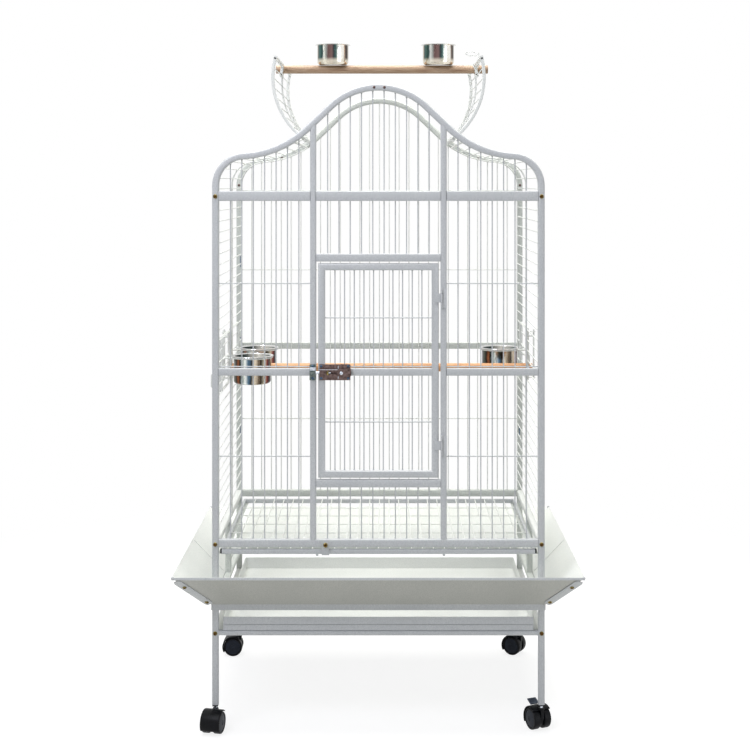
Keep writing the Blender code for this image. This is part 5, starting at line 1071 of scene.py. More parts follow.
# Each band of painted reflection starts at a share of the turn round the axis, from the left through
# the front at 0.25 to the right at 0.5.
BOWL_PAINTED_REFLECTION = (
    (0.0, "#141412"), (0.055, "#1C1A18"), (0.085, "#4A4E40"), (0.115, "#161412"), (0.140, "#8A5436"),
    (0.160, "#1E1C1A"), (0.185, "#7E908C"), (0.210, "#EDEFEA"), (0.240, "#5C7C94"), (0.268, "#22262A"),
    (0.295, "#D8CBB6"), (0.325, "#8E7C68"), (0.350, "#221C1A"), (0.385, "#C4B8A4"), (0.420, "#7A2420"),
    (0.445, "#241A1A"), (0.5, "#121110"), (0.60, "#6E7674"), (0.72, "#D4D0C8"), (0.84, "#3A4443"),
    (1.0, "#141412"))
CUP_PAINTED_REFLECTION = (
    (0.0, "#8C867C"), (0.050, "#C9C2B4"), (0.080, "#3E4C48"), (0.105, "#4F6E6A"), (0.150, "#2E4644"),
    (0.170, "#D9DAD6"), (0.195, "#A0A29E"), (0.215, "#6C5452"), (0.255, "#7C6462"), (0.275, "#3A3E40"),
    (0.300, "#4C6866"), (0.325, "#ECEAE4"), (0.385, "#F4F1EA"), (0.415, "#5A463C"), (0.440, "#2C2A28"),
    (0.470, "#9A9286"), (0.5, "#6E6A62"), (0.60, "#8E9492"), (0.72, "#E0DCD4"), (0.84, "#4C5453"),
    (1.0, "#8C867C"))
bowl_steel = spun_steel("stainless_steel", BOWL_HEIGHT, BOWL_PAINTED_REFLECTION, 0.0)
cup_steel = spun_steel("stainless_steel_cup", CUP_HEIGHT, CUP_PAINTED_REFLECTION, 0.75)


def spun_bowl(radius, rim_radius, height):
    """Return the profile of a spun bowl: floor, round corner, wall, turned-out rim and inside."""
    wall = BOWL_WALL
    profile = [(AT_AXIS, 0.0007), (radius * 0.45, 0.0007), (radius * 0.62, 0.0),
               (radius - BOTTOM_CORNER, 0.0)]
    for step in range(1, 6):
        angle = math.pi / 2 * step / 5
        out, up = BOTTOM_CORNER * (1 - math.sin(angle)), BOTTOM_CORNER * (1 - math.cos(angle))
        profile.append((radius - out, up))
    profile += [(radius, height - RIM_TURN), (radius + 0.0006, height - 0.0026),
                (radius + 0.0016, height - RIM_UNDER), (rim_radius - 0.0010, height - RIM_UNDER)]
    for step in range(5):
        angle = -math.pi / 2 + math.pi * step / 4
        out, up = RIM_BEAD * math.cos(angle), RIM_BEAD * math.sin(angle)
        profile.append((rim_radius - RIM_BEAD + out, height - 0.0012 + up))
    profile += [(radius + 0.0012, height - 0.0001), (radius - 0.0004, height - 0.0006),
                (radius - wall, height - 0.0020), (radius - wall, BOTTOM_CORNER)]
    inner = BOTTOM_CORNER - wall
    for step in range(1, 6):
        angle = math.pi / 2 * (1 - step / 5)
        profile.append((radius - wall - inner * (1 - math.sin(angle)), wall + inner * (1 - math.cos(angle))))
    profile += [(radius * 0.5, wall), (AT_AXIS, wall + 0.0004)]
    return profile


for (side, end), name in FEEDER_NAMES.items():
    centre = bowl_place(side, end)
    shape = turned(spun_bowl(BOWL_RADIUS, BOWL_RIM_RADIUS, BOWL_HEIGHT), (0, 0, 0), sides=72)
    add_piece(f"{name}_spun_bowl", [shape], bowl_steel, f"{name}_bowl", [f"{name}_bowl"],
              place=(centre.x, centre.y, BOWL_RIM_TOP - BOWL_HEIGHT))
for name, x in CUP_PLACES.items():
    shape = turned(spun_bowl(CUP_RADIUS, CUP_RIM_RADIUS, CUP_HEIGHT), (0, 0, 0), sides=72)
    add_piece(f"{name}_spun_cup", [shape], cup_steel, "play_perch", [f"{name}_cup"], place=(x, 0.0, CUP_BASE))

# Roof halves: two frames of flat bar bent to an arc, with wires across them, that turn on rods in
# the shoulder eyes. They stand open, and the play perch lies in the cradles at their tips.
ROOF_RADIUS = 0.190
ROOF_MEETING_GAP = 0.020
ROOF_OPEN_ANGLE = math.radians(75.5)
ROOF_ROD_SPACES = 9
ROOF_RAIL = 0.008
ROOF_SIDE_RAIL = 0.006
ROOF_HINGE_ROD_RADIUS = 0.004
ROOF_MIDDLE_HOOP_SPREAD = 0.024
CRADLE_WIDTH = 0.030
ROOF_END_GAP = 0.005
FLAT_CORNER = 0.0012
CHEEK_CORNER = 0.0010
roof_end = BACK_FACE - TUBE - ROOF_END_GAP
roof_drop = math.sqrt(ROOF_RADIUS ** 2 - (ROOF_HINGE_X - ROOF_MEETING_GAP / 2) ** 2)
roof_hinge = Matrix.Translation((-ROOF_HINGE_X, 0, ROOF_HINGE_Z))
roof_opened = roof_hinge @ Matrix.Rotation(-ROOF_OPEN_ANGLE, 4, "Y") @ roof_hinge.inverted()


def roof_at(share, radius=ROOF_RADIUS, y=0.0):
    """Return the point of the open left roof arc at a share of its length from the hinge."""
    start = math.pi / 2 + math.acos(roof_drop / ROOF_RADIUS)
    angle = start + (math.pi / 2 - start) * share
    closed = Vector((-ROOF_MEETING_GAP / 2 + radius * math.cos(angle), y,
                     ROOF_HINGE_Z - roof_drop + radius * math.sin(angle)))
    return roof_opened @ closed


cradle_share = (ROOF_ROD_SPACES - 1) / ROOF_ROD_SPACES
cradle_half = CRADLE_WIDTH / 2
tip_outward = roof_at(1.0, ROOF_RADIUS + 1) - roof_at(1.0)
side_bar = square_bar(ROOF_SIDE_RAIL, ROOF_RAIL, FLAT_CORNER)
rail_bar = square_bar(ROOF_RAIL, ROOF_RAIL, FLAT_CORNER)
cheek_bar = square_bar(ROOF_SIDE_RAIL, ROOF_RAIL - THINNER, CHEEK_CORNER)
for side, name in ((-1, "left"), (1, "right")):
    shapes = [turned(barrel(ROOF_HINGE_ROD_RADIUS, -roof_end + RUN_IN, roof_end - RUN_IN),
                     (-ROOF_HINGE_X, 0, ROOF_HINGE_Z), (0, 1, 0), 16)]
    for y in (-roof_end + ROOF_SIDE_RAIL / 2, roof_end - ROOF_SIDE_RAIL / 2):
        arc = [roof_at(step / 24, y=y) for step in range(25)]
        shapes.append(swept(arc, side_bar))
    for sign in (-1, 1):
        rail = [roof_at(1.0, y=sign * cradle_half), roof_at(1.0, y=sign * roof_end)]
        shapes.append(swept(rail, rail_bar, across=tip_outward))
        y = sign * (cradle_half + ROOF_SIDE_RAIL / 2)
        cheek = [roof_at(share, y=y) for share in (cradle_share, 1.0)]
        shapes.append(swept(cheek, cheek_bar))
    bed = [roof_at(cradle_share, y=sign * (cradle_half + ROOF_SIDE_RAIL)) for sign in (-1, 1)]
    shapes.append(swept(bed, rail_bar, across=tip_outward))
    for y in (-ROOF_MIDDLE_HOOP_SPREAD / 2, ROOF_MIDDLE_HOOP_SPREAD / 2):
        arc = [roof_at(cradle_share * step / 20, ROOF_RADIUS - WIRE, y) for step in range(21)]
        shapes.append(swept(arc, round_bar(WIRE / 2)))
    rod_end, cradle_edge = roof_end - ROOF_SIDE_RAIL, cradle_half + ROOF_SIDE_RAIL
    for index in range(1, ROOF_ROD_SPACES):
        spans = [(-rod_end, rod_end)]
        if index == ROOF_ROD_SPACES - 1:
            spans = [(-rod_end, -cradle_edge), (cradle_edge, rod_end)]
        for span in spans:
            rod = [roof_at(index / ROOF_ROD_SPACES, y=y) for y in span]
            shapes.append(swept(rod, round_bar(WIRE / 2), across=(1, 0, 0)))
    add_piece(f"{name}_roof_wires", [mirrored(shape, side) for shape in shapes], white_coat, f"roof_{name}",
              [f"roof_{name}"])

# Hook: one length of coated wire, coiled round the right half's top rail, run up and bent into a
# flat wavy loop that drops over the left half's rail when the roof is shut.
HOOK_Y = -0.042
HOOK_EYE_RADIUS = 0.0076
HOOK_STEM = 0.030
HOOK_LOOP = (0.034, 0.012)
HOOK_WIRE_RADIUS = 0.0013
HOOK_DRIFT = 0.0012
LOOP_DRIFT = 0.0018
LOOP_FLATNESS = 0.82
LOOP_WAVE = 0.0011
LOOP_WAVE_LENGTH = 0.015
tip = roof_at(1.0)
hook_eye = Vector((-tip.x, HOOK_Y, tip.z))
path = []
for step in range(17):
    angle = math.radians(-290 + 290 * step / 16)
    path.append(hook_eye + Vector((
        math.cos(angle) * HOOK_EYE_RADIUS, HOOK_DRIFT - 2 * HOOK_DRIFT * step / 16,
        math.sin(angle) * HOOK_EYE_RADIUS)))
stem_x = hook_eye.x + HOOK_EYE_RADIUS
stem_y = HOOK_Y - HOOK_DRIFT
stem_top = hook_eye.z + HOOK_STEM
path += [Vector((stem_x, stem_y, hook_eye.z + HOOK_STEM * share)) for share in (0.3, 0.6, 0.85)]
loop_length, loop_height = HOOK_LOOP
for step in range(25):
    angle = math.radians(-20 + 340 * step / 24)
    x = stem_x - loop_length / 2 + loop_length / 2 * math.cos(angle) - 0.0005
    wave = LOOP_WAVE * math.sin(x * math.tau / LOOP_WAVE_LENGTH)
    z = stem_top + loop_height / 2 * math.sin(angle) * LOOP_FLATNESS + wave
    path.append(Vector((x, stem_y + LOOP_DRIFT * step / 24, z)))
hook_wire = swept(path, round_bar(HOOK_WIRE_RADIUS, 10))
add_piece("roof_hook_wire", [hook_wire], white_coat, "roof_hook", ["roof_hook"])

# Perches: turned beech dowels 22 mm thick, sanded smooth. One, bare and greyed, lies across the open
# roof under the two cups, and a warmer oiled one runs from side to side inside the cage, where a
# plated neck and a wooden button hold its right end.
PERCH_RADIUS = 0.011
PLAY_PERCH_ENDS = (-0.272, 0.288)
PLAY_PERCH_HEIGHT = 1.6394
INNER_PERCH_HEIGHT = 0.8515
INNER_PERCH_HALF = 0.3897
PERCH_BUTTON = (0.3977, 0.4057)
PERCH_NECK_RADIUS = 0.004
DOWEL_CORNER = 0.0016
DOWEL_WAVE = 0.00008
DOWEL_WAVES = 37.0


def beech(name, pale, middle, dark):
    """Sanded beech: straight grain along the dowel, with the short dark flecks of its rays."""
    material, tree, place = start_material(name, "beech_dowel")
    along = add_node(tree, "ShaderNodeMapping", {"Vector": place, "Scale": (0.05, 1.0, 1.0)})
    grain_width = 0.0022
    grain = add_node(tree, "ShaderNodeTexNoise", {
        "Vector": along.outputs[0], "Scale": 1 / grain_width, "Detail": 5.0, "Distortion": 0.4})
    tint = add_node(tree, "ShaderNodeValToRGB", {"Fac": grain.outputs[0]})
    ramp = tint.color_ramp
    ramp.elements[0].position, ramp.elements[0].color = 0.30, linear(dark)
    ramp.elements[1].position, ramp.elements[1].color = 0.68, linear(pale)
    ramp.elements.new(0.47).color = linear(middle)
    fleck_width = 0.0009
    short = add_node(tree, "ShaderNodeMapping", {"Vector": place, "Scale": (0.25, 1.0, 1.0)})
    flecks = add_node(tree, "ShaderNodeTexNoise", {"Vector": short.outputs[0], "Scale": 1 / fleck_width})
    fleck_share = add_node(tree, "ShaderNodeMapRange", {
        "Value": flecks.outputs[0], "From Min": 0.63, "From Max": 0.72, "To Max": 0.5})
    colour = add_node(tree, "ShaderNodeMix", {
        0: fleck_share.outputs[0], 6: tint.outputs[0], 7: linear(dark)}, data_type="RGBA")
    rough = add_node(tree, "ShaderNodeMapRange", {"Value": grain.outputs[0], "To Min": 0.62, "To Max": 0.48})
    relief = add_node(tree, "ShaderNodeBump", {
        "Height": grain.outputs[0], "Strength": 0.25, "Distance": 0.0004})
    shader = add_node(tree, "ShaderNodeBsdfPrincipled", {
        "Base Color": colour.outputs[2], "Roughness": rough.outputs[0], "Normal": relief.outputs[0]})
    add_node(tree, "ShaderNodeOutputMaterial", {"Surface": shader.outputs[0]})
    return material


def dowel(low, high, radius):
    """Return a dowel's profile along its length, with sanded end corners and slight waviness."""
    profile = [(AT_AXIS, low), (radius - DOWEL_CORNER, low), (radius - 0.0005, low + 0.0004),
               (radius, low + 0.0014)]
    for step in range(1, 24):
        share = step / 24
        wave = DOWEL_WAVE * (1 + math.sin(share * DOWEL_WAVES))
        profile.append((radius - wave, low + (high - low) * share))
    return profile + [(radius, high - 0.0014), (radius - 0.0005, high - 0.0004),
                      (radius - DOWEL_CORNER, high), (AT_AXIS, high)]


play_beech = beech("beech_dowel", "#B39A82", "#A3866C", "#86664E")
inner_beech = beech("oiled_beech", "#D8AA80", "#C68E5E", "#9C6A42")
play_dowel = turned(dowel(*PLAY_PERCH_ENDS, PERCH_RADIUS), (0, 0, PLAY_PERCH_HEIGHT), (1, 0, 0), 40)
add_piece("play_perch_dowel", [play_dowel], play_beech, "play_perch", ["play_perch"])
inner_perch_middle = (0, 0, INNER_PERCH_HEIGHT)
button_low, button_high = PERCH_BUTTON
perch_end = [(AT_AXIS, button_low), (PERCH_RADIUS, button_low), (PERCH_RADIUS, button_high - 0.0025),
             (PERCH_RADIUS - 0.0010, button_high - 0.0008), (PERCH_RADIUS - 0.0030, button_high),
             (AT_AXIS, button_high)]
inner_dowel = dowel(-INNER_PERCH_HALF, INNER_PERCH_HALF, PERCH_RADIUS)
inner_shapes = [turned(profile, inner_perch_middle, (1, 0, 0), 40) for profile in (inner_dowel, perch_end)]
add_piece("inner_perch_dowel", inner_shapes, inner_beech, "cage", ["inner_perch"])
neck = turned(barrel(PERCH_NECK_RADIUS, INNER_PERCH_HALF, button_low), inner_perch_middle, (1, 0, 0), 20)
add_piece("inner_perch_neck", [neck], nickel_plate, "cage")

# Stand: two welded ends of 16 mm square tube, each with two legs, an upper rail and a tray rail,
# joined by side rails. Short posts under the cage and flat ledges carry the cage and the grate.
LEG_BOTTOM = 0.064
STAND_RAIL = (0.296, 0.311)
TRAY_RAIL = (0.233, 0.245)
LEDGE_WIDTH = 0.019
LEDGE_THICKNESS = 0.002
GRATE_LOW = 0.432
THIN_TUBE = TUBE - THINNER
leg_x = HALF_WIDTH - TUBE / 2
leg_y = BACK_FACE - TUBE / 2
leg_inner = leg_x - TUBE / 2
for end, name in ((-1, "front"), (1, "back")):
    shapes = []
    for side in (-1, 1):
        shapes.append(swept([(side * leg_x, end * leg_y, z) for z in (LEG_BOTTOM, CAGE_FLOOR - SEAT_GAP)],
                            square_bar(TUBE, TUBE, TUBE_CORNER)))
    for low, high in (STAND_RAIL, TRAY_RAIL):
        rail = [(x, end * leg_y, (low + high) / 2) for x in (-leg_inner - RUN_IN, leg_inner + RUN_IN)]
        shapes.append(swept(rail, square_bar(THIN_TUBE, high - low, TUBE_CORNER)))
    # The stand's front end takes the silver copy as painted shade, its back end the pale copy as painted
    # light.
    coat = painted_shade_silver_coat if name == "front" else painted_light_pale_coat
    add_piece(f"stand_{name}_tubes", shapes, coat, "cage", [f"stand_{name}"])
ends = (FRONT_FACE + TUBE + SEAT_GAP, BACK_FACE - TUBE - SEAT_GAP)
for side, name in ((-1, "left"), (1, "right")):
    ledge_x = (side * (leg_inner + RUN_IN), side * (leg_inner - LEDGE_WIDTH))
    shapes = [swept([(side * leg_x, y, sum(STAND_RAIL) / 2) for y in ends],
                    square_bar(TUBE, STAND_RAIL[1] - STAND_RAIL[0], TUBE_CORNER)),
              swept([(side * leg_x, 0, z) for z in (STAND_RAIL[1] - RUN_IN, CAGE_FLOOR - SEAT_GAP)],
                    square_bar(THIN_TUBE, THIN_TUBE, TUBE_CORNER)),
              plate(ledge_x, ends, (GRATE_LOW - SEAT_GAP - LEDGE_THICKNESS, GRATE_LOW - SEAT_GAP))]
    # The stand's sides take the pale copy of the coat: painted light, as on the back frame.
    add_piece(f"stand_{name}_tubes", shapes, painted_light_pale_coat, "cage", [f"stand_{name}"])
    shapes = [swept([(side * leg_x, y, sum(TRAY_RAIL) / 2) for y in ends],
                    square_bar(TUBE, TRAY_RAIL[1] - TRAY_RAIL[0], TUBE_CORNER)),
              plate(ledge_x, (ends[0] + 0.0002, ends[1] - 0.0002),
                    (TRAY_RAIL[1] - LEDGE_THICKNESS, TRAY_RAIL[1] - 0.0002))]
    add_piece(f"tray_rail_{name}_tube", shapes, white_coat, "cage", [f"tray_rail_{name}"])

# Seed guards: four coated steel sheets, folded down against the stand's rail and over at the rim,
# which slope out to catch what the birds throw. Their ends are mitred, and a flat strap covers the
# seam in the middle of each side guard.
GUARD_REACH = 0.086
GUARD_RIM = 0.3995
GUARD_LIP = 0.007
GUARD_SHEET = 0.0012
RIM_BEND = 0.0013
GUARD_WAVES = 7.3
GUARD_SEAM_WIDTH = 0.011
GUARD_SEAM_THICKNESS = 0.0012
GUARD_SEAM_INSET = 0.004
GUARD_WAVE = 0.0005
GUARD_STEPS = 24
FACES_UP = 0.2
UPRIGHT = 0.1
RIM_CORNER = 0.0040
guard_rise = (GUARD_RIM - STAND_RAIL[1]) / (GUARD_REACH - SEAT_GAP)
# The same coat is painted by which way a face points: a warm grey copy is painted shade on the
# slopes' undersides, the upright lip takes the silver copy as painted shade, and the inside is near
# white.
painted_shade_warm_coat = powder_coat("painted_shade_warm_powder_coat", "#B9B9B3", "#A2A39E")


def guard_top(out):
    """Return the height of a guard's upper side at a distance out from the stand."""
    return STAND_RAIL[1] + (out - SEAT_GAP) * guard_rise


def guard_under(out):
    """Return the height of a guard's underside at a distance out from the stand."""
    return guard_top(out) - GUARD_SHEET * math.hypot(1.0, guard_rise)


flange = SEAT_GAP + GUARD_SHEET
lip = GUARD_REACH - GUARD_SHEET
sheet_middle = (flange + lip) / 2
guard_section = [
    (SEAT_GAP, STAND_RAIL[0] + SEAT_GAP), (flange, STAND_RAIL[0] + SEAT_GAP), (flange, guard_under(flange)),
    (sheet_middle, guard_under(sheet_middle)), (lip, guard_under(lip)), (lip, GUARD_RIM - GUARD_LIP),
    (GUARD_REACH, GUARD_RIM - GUARD_LIP), (GUARD_REACH, GUARD_RIM - RIM_BEND),
    (GUARD_REACH - RIM_BEND * 0.3, GUARD_RIM - RIM_BEND * 0.35),
    (GUARD_REACH - RIM_BEND, guard_top(GUARD_REACH - RIM_BEND)), (sheet_middle, guard_top(sheet_middle)),
    (SEAT_GAP, STAND_RAIL[1])]
for name, half, distance, lengthwise, sign in (
        ("front", HALF_WIDTH, -FRONT_FACE, True, -1), ("back", HALF_WIDTH, BACK_FACE, True, 1),
        ("left", BACK_FACE, HALF_WIDTH, False, -1), ("right", BACK_FACE, HALF_WIDTH, False, 1)):
    rings = []
    for step in range(GUARD_STEPS + 1):
        share = 2 * step / GUARD_STEPS - 1
        ring = []
        for out, z in guard_section:
            along = share * (half + out - SEAT_GAP)
            wave = GUARD_WAVE * math.sin(share * GUARD_WAVES) * (1 - share * share)
            bulge = wave if out == sheet_middle else 0.0
            beyond = sign * (distance + out - bulge)
            ring.append((along, beyond, z + bulge) if lengthwise else (beyond, along, z + bulge))
        rings.append(ring)
    shapes = [loft(rings)]
    if not lengthwise:
        seam = [(sign * (distance + out), 0.0, guard_top(out) + GUARD_SEAM_THICKNESS / 3)
                for out in (GUARD_SEAM_INSET, GUARD_REACH - GUARD_SEAM_INSET)]
        shapes.append(swept(seam, square_bar(GUARD_SEAM_WIDTH, GUARD_SEAM_THICKNESS, 0.0004)))
    sheet = add_piece(f"{name}_guard_sheet", shapes, painted_shade_warm_coat, "cage", [f"{name}_guard"])
    sheet.data.materials.append(white_coat)
    sheet.data.materials.append(painted_shade_silver_coat)
    # Painted shade by facing: faces that point down keep the warm copy, upright faces take the silver copy,
    # and faces that point up take the near-white coat.
    for face in sheet.data.polygons:
        if face.normal.z > FACES_UP:
            face.material_index = 1
        elif abs(face.normal.z) < UPRIGHT:
            face.material_index = 2
corner_welds = []
for side in (-1, 1):
    for end in (-1, 1):
        reach = GUARD_REACH - RIM_CORNER * 0.6
        place = (side * (HALF_WIDTH + reach), end * (BACK_FACE + reach), GUARD_RIM - RIM_CORNER * 0.8)
        corner_welds.append(weld_bead(place, RIM_CORNER, RIM_CORNER * 1.1))
add_piece("guard_corner_welds", corner_welds, painted_shade_silver_coat, "cage")

# Corner brackets: a flat coated strap lies along each mitre, under the front or back guard, held by
# two plated bolts whose nuts stand on the guard's upper side.
BRACKET_FROM = 0.004
BRACKET_TO = 0.076
BRACKET_WIDTH = 0.0215
BRACKET_THICKNESS = 0.0016
BRACKET_BOLTS = (0.011, 0.0585)
BRACKET_BOLT_RADIUS = 0.0050
BRACKET_BOLT_RISE = 0.0026
BRACKET_POINT = 0.004
BRACKET_POINT_SHARE = 0.70
NUT_RADIUS = 0.0042
NUT_HEIGHT = 0.0028
NUT_OFFSET = 0.004


def mitre_under(out):
    """Return the point under the right back corner's guards where they meet."""
    return Vector((HALF_WIDTH + out, BACK_FACE + out, guard_under(out)))


along = (mitre_under(GUARD_REACH) - mitre_under(0.0)).normalized()
outward = Vector((0.0, guard_rise, -1.0)).normalized()
across = along.cross(outward)
strap_widths = ((BRACKET_FROM, BRACKET_POINT_SHARE), (BRACKET_FROM + BRACKET_POINT, 1.0),
                (BRACKET_TO - BRACKET_POINT, 1.0), (BRACKET_TO, BRACKET_POINT_SHARE))
for side, side_name in ((-1, "left"), (1, "right")):
    for end, end_name in ((-1, "front"), (1, "back")):
        mirror = Matrix.Diagonal((side, end, 1, 1))
        rings = []
        for out, share in strap_widths:
            ring = []
            for u, v in square_bar(BRACKET_WIDTH * share, BRACKET_THICKNESS, 0.0005):
                point = mitre_under(out) + across * u + outward * (SEAT_GAP + BRACKET_THICKNESS / 2 + v)
                ring.append(mirror @ point)
            rings.append(ring)
        name = f"{end_name}_{side_name}"
        add_piece(f"corner_strap_{name}", [loft(rings)], painted_shade_silver_coat, "cage", [f"guard_bracket_{name}"])
        heads, crosses = [], []
        for out in BRACKET_BOLTS:
            seat = mitre_under(out) + outward * (SEAT_GAP + BRACKET_THICKNESS + 0.0001)
            facing = mirror.to_3x3() @ outward
            head = screw_head(mirror @ seat, facing, BRACKET_BOLT_RADIUS, BRACKET_BOLT_RISE, WIDE_RECESS)
            # The recess is drawn as a near-black russet disc: pooled chromate and painted shade.
            recess = barrel(BRACKET_BOLT_RADIUS * 0.45, 0.0012, BRACKET_BOLT_RISE + 0.0001)
            crosses.append(turned(recess, mirror @ seat, facing, 12))
            nut = mitre_under(out) + Vector((NUT_OFFSET, -NUT_OFFSET, GUARD_SHEET * 1.6))
            inward = mirror.to_3x3() @ -outward
            heads += [head, turned(barrel(NUT_RADIUS, 0.0, NUT_HEIGHT), mirror @ nut, inward, 6)]
        add_piece(f"corner_bolts_{name}", heads, yellow_zinc, "cage")
        add_piece(f"corner_bolt_recesses_{name}", crosses, russet_and_recess_shade_zinc, "cage")

# Floor grate: a flat bar frame with wires from front to back and cross rods under them, a tab that
# is screwed to the front, and black plugs on the ends of the front bar. It slides out.
GRATE_SIDE_GAP = 0.0065
GRATE_END_GAP = 0.002
GRATE_BAR = 0.006
GRATE_FRONT_BAR = 0.009
GRATE_HEIGHT = 0.012
GRATE_CROSS_RODS = 5
GRATE_TAB = (-0.138, -0.120)
GRATE_TAB_LEVELS = (0.4305, 0.462)
GRATE_TAB_THICKNESS = 0.002
GRATE_FEET = (-0.1496, 0.1602)
GRATE_FOOT_HALF = 0.003
GRATE_CORNER = 0.0012
END_PLUG = (-0.0014, 0.0026)
grate_half = POST_INNER - GRATE_SIDE_GAP
grate_front = FRONT_FACE + GRATE_END_GAP
grate_back = BACK_FACE - TUBE - GRATE_END_GAP
grate_z = GRATE_LOW + GRATE_HEIGHT / 2
grate_inner = grate_half - GRATE_BAR
wire_z = GRATE_LOW + GRATE_HEIGHT - 2 * SEAT_GAP - WIRE / 2
flat_bar = square_bar(GRATE_BAR, GRATE_HEIGHT - 2 * SEAT_GAP, GRATE_CORNER)
grate_shapes = [
    swept([(x, grate_front + GRATE_FRONT_BAR / 2, grate_z) for x in (-grate_half, grate_half)],
          square_bar(GRATE_FRONT_BAR, GRATE_HEIGHT, 0.0020)),
    swept([(x, grate_back - GRATE_BAR / 2, grate_z) for x in (-grate_half, grate_half)],
          square_bar(GRATE_BAR, GRATE_HEIGHT, GRATE_CORNER))]
for side in (-1, 1):
    x = side * (grate_half - GRATE_BAR / 2)
    bar = [(x, y, grate_z) for y in (grate_front + GRATE_FRONT_BAR - RUN_IN, grate_back - RUN_IN)]
    grate_shapes.append(swept(bar, flat_bar))
grate_wires = []
ends = (grate_front + GRATE_FRONT_BAR - RUN_IN / 2, grate_back - GRATE_BAR + RUN_IN / 2)
for x in spread(-grate_inner, grate_inner, SIDE_PITCH):
    grate_wires.append(swept([(x, y, wire_z) for y in ends], round_bar(WIRE / 2), across=(1, 0, 0)))
for y in spread(grate_front, grate_back, 2 * BACK_FACE / (GRATE_CROSS_RODS + 1)):
    rod = [(x, y, wire_z - WIRE) for x in (-grate_inner - RUN_IN, grate_inner + RUN_IN)]
    grate_wires.append(swept(rod, round_bar(WIRE / 2)))
tab_y = FRONT_FACE - 2 * SEAT_GAP
tab_front = tab_y - GRATE_TAB_THICKNESS
grate_shapes.append(plate(GRATE_TAB, (tab_y, tab_front), GRATE_TAB_LEVELS, 0.0008))
grate_shapes.append(plate(
    (GRATE_TAB[0] + 0.001, GRATE_TAB[1] - 0.001), (tab_y - 0.0015, grate_front + RUN_IN),
    (GRATE_LOW + SEAT_GAP, GRATE_LOW + 0.008), 0.0006))
foot_depth = (grate_front + RUN_IN, grate_front + 0.004)
foot_levels = (GRATE_LOW - 0.0045, GRATE_LOW + RUN_IN)
for x in GRATE_FEET:
    grate_shapes.append(plate((x - GRATE_FOOT_HALF, x + GRATE_FOOT_HALF), foot_depth, foot_levels))
# The grate's bars take the silver copy of the coat: painted shade.
add_piece("grate_bars", grate_shapes, painted_shade_silver_coat, "grate", ["grate"])
add_piece("grate_wires", grate_wires, white_coat, "grate")


def nylon(name, slot, body, sheen):
    """Moulded nylon: an even colour with a fine spark-eroded grain that greys the highlights."""
    material, tree, place = start_material(name, slot)
    # The real grain is finer, and is drawn this coarse so that it shows.
    wear_size, grain_size = 0.012, 0.0007
    wear = add_node(tree, "ShaderNodeTexNoise", {"Vector": place, "Scale": 1 / wear_size, "Detail": 4.0})
    share = add_node(tree, "ShaderNodeMapRange", {
        "Value": wear.outputs[0], "From Min": 0.40, "From Max": 0.72, "To Max": 0.8})
    colour = add_node(tree, "ShaderNodeMix", {
        0: share.outputs[0], 6: linear(body), 7: linear(sheen)}, data_type="RGBA")
    grain = add_node(tree, "ShaderNodeTexNoise", {"Vector": place, "Scale": 1 / grain_size, "Detail": 2.0})
    rough = add_node(tree, "ShaderNodeMapRange", {
        "Value": wear.outputs[0], "To Min": 0.28, "To Max": 0.52})
    relief = add_node(tree, "ShaderNodeBump", {
        "Height": grain.outputs[0], "Strength": 0.25, "Distance": 0.0002})
    shader = add_node(tree, "ShaderNodeBsdfPrincipled", {
        "Base Color": colour.outputs[2], "Roughness": rough.outputs[0], "IOR": 1.53,
        "Specular IOR Level": 0.12, "Normal": relief.outputs[0]})
    add_node(tree, "ShaderNodeOutputMaterial", {"Surface": shader.outputs[0]})
    return material


# Near black for plugs, hoods and tyres, a blue slate for the hub caps, grey for the brake pedals.
black_nylon = nylon("black_nylon", "black_nylon", "#08090C", "#101217")
slate_nylon = nylon("slate_nylon", "black_nylon", "#1E222B", "#2A303B")
grey_nylon = nylon("grey_nylon", "grey_nylon", "#4A515C", "#646C78")
plug_depth = (grate_front - 0.0004, grate_front + GRATE_FRONT_BAR - 0.0008)
plug_levels = (GRATE_LOW + 0.0020, GRATE_LOW + 0.0125)
plugs = [plate([side * (grate_half + out) for out in END_PLUG], plug_depth, plug_levels, GRATE_CORNER)
         for side in (-1, 1)]
add_piece("grate_end_plugs", plugs, black_nylon, "grate")

# Thumb screw: a knurled brass-coloured head on a short shank, turned by hand into the grate's tab.
THUMB_SCREW_HEIGHT = 0.456
THUMB_SCREW_RADIUS = 0.0055
THUMB_SCREW_LENGTH = 0.005
KNURLS = 30
KNURL_DEPTH = 0.0005
SHANK_RADIUS = 0.0016
# Distance out from the tab, share of the radius, and depth of the knurls.
THUMB_SCREW_RINGS = (
    (0.0, 0.78, 0.0), (0.0006, 1.0, 0.0), (0.0010, 1.0, KNURL_DEPTH), (0.0040, 1.0, KNURL_DEPTH),
    (0.0044, 1.0, 0.0), (THUMB_SCREW_LENGTH, 0.84, 0.0), (THUMB_SCREW_LENGTH - 0.0008, 0.5, 0.0))
thumb_x = sum(GRATE_TAB) / 2
thumb_face = tab_front - SEAT_GAP
thumb_rings = []
thumb_middle = (thumb_x, thumb_face, THUMB_SCREW_HEIGHT)
for distance, share, knurl in THUMB_SCREW_RINGS:
    ring = []
    for index in range(2 * KNURLS):
        angle = math.pi * index / KNURLS
        radius = THUMB_SCREW_RADIUS * share - (knurl if index % 2 else 0.0)
        ring.append((thumb_x + radius * math.cos(angle), thumb_face - distance,
                     THUMB_SCREW_HEIGHT + radius * math.sin(angle)))
    thumb_rings.append(ring)
shank = turned(barrel(SHANK_RADIUS, -0.0008, 0.0032), thumb_middle, (0, 1, 0), 12)
add_piece("knurled_thumb_screw", [loft(thumb_rings), shank], yellow_zinc, "grate", ["thumb_screw"])
slot_face = thumb_face - THUMB_SCREW_LENGTH
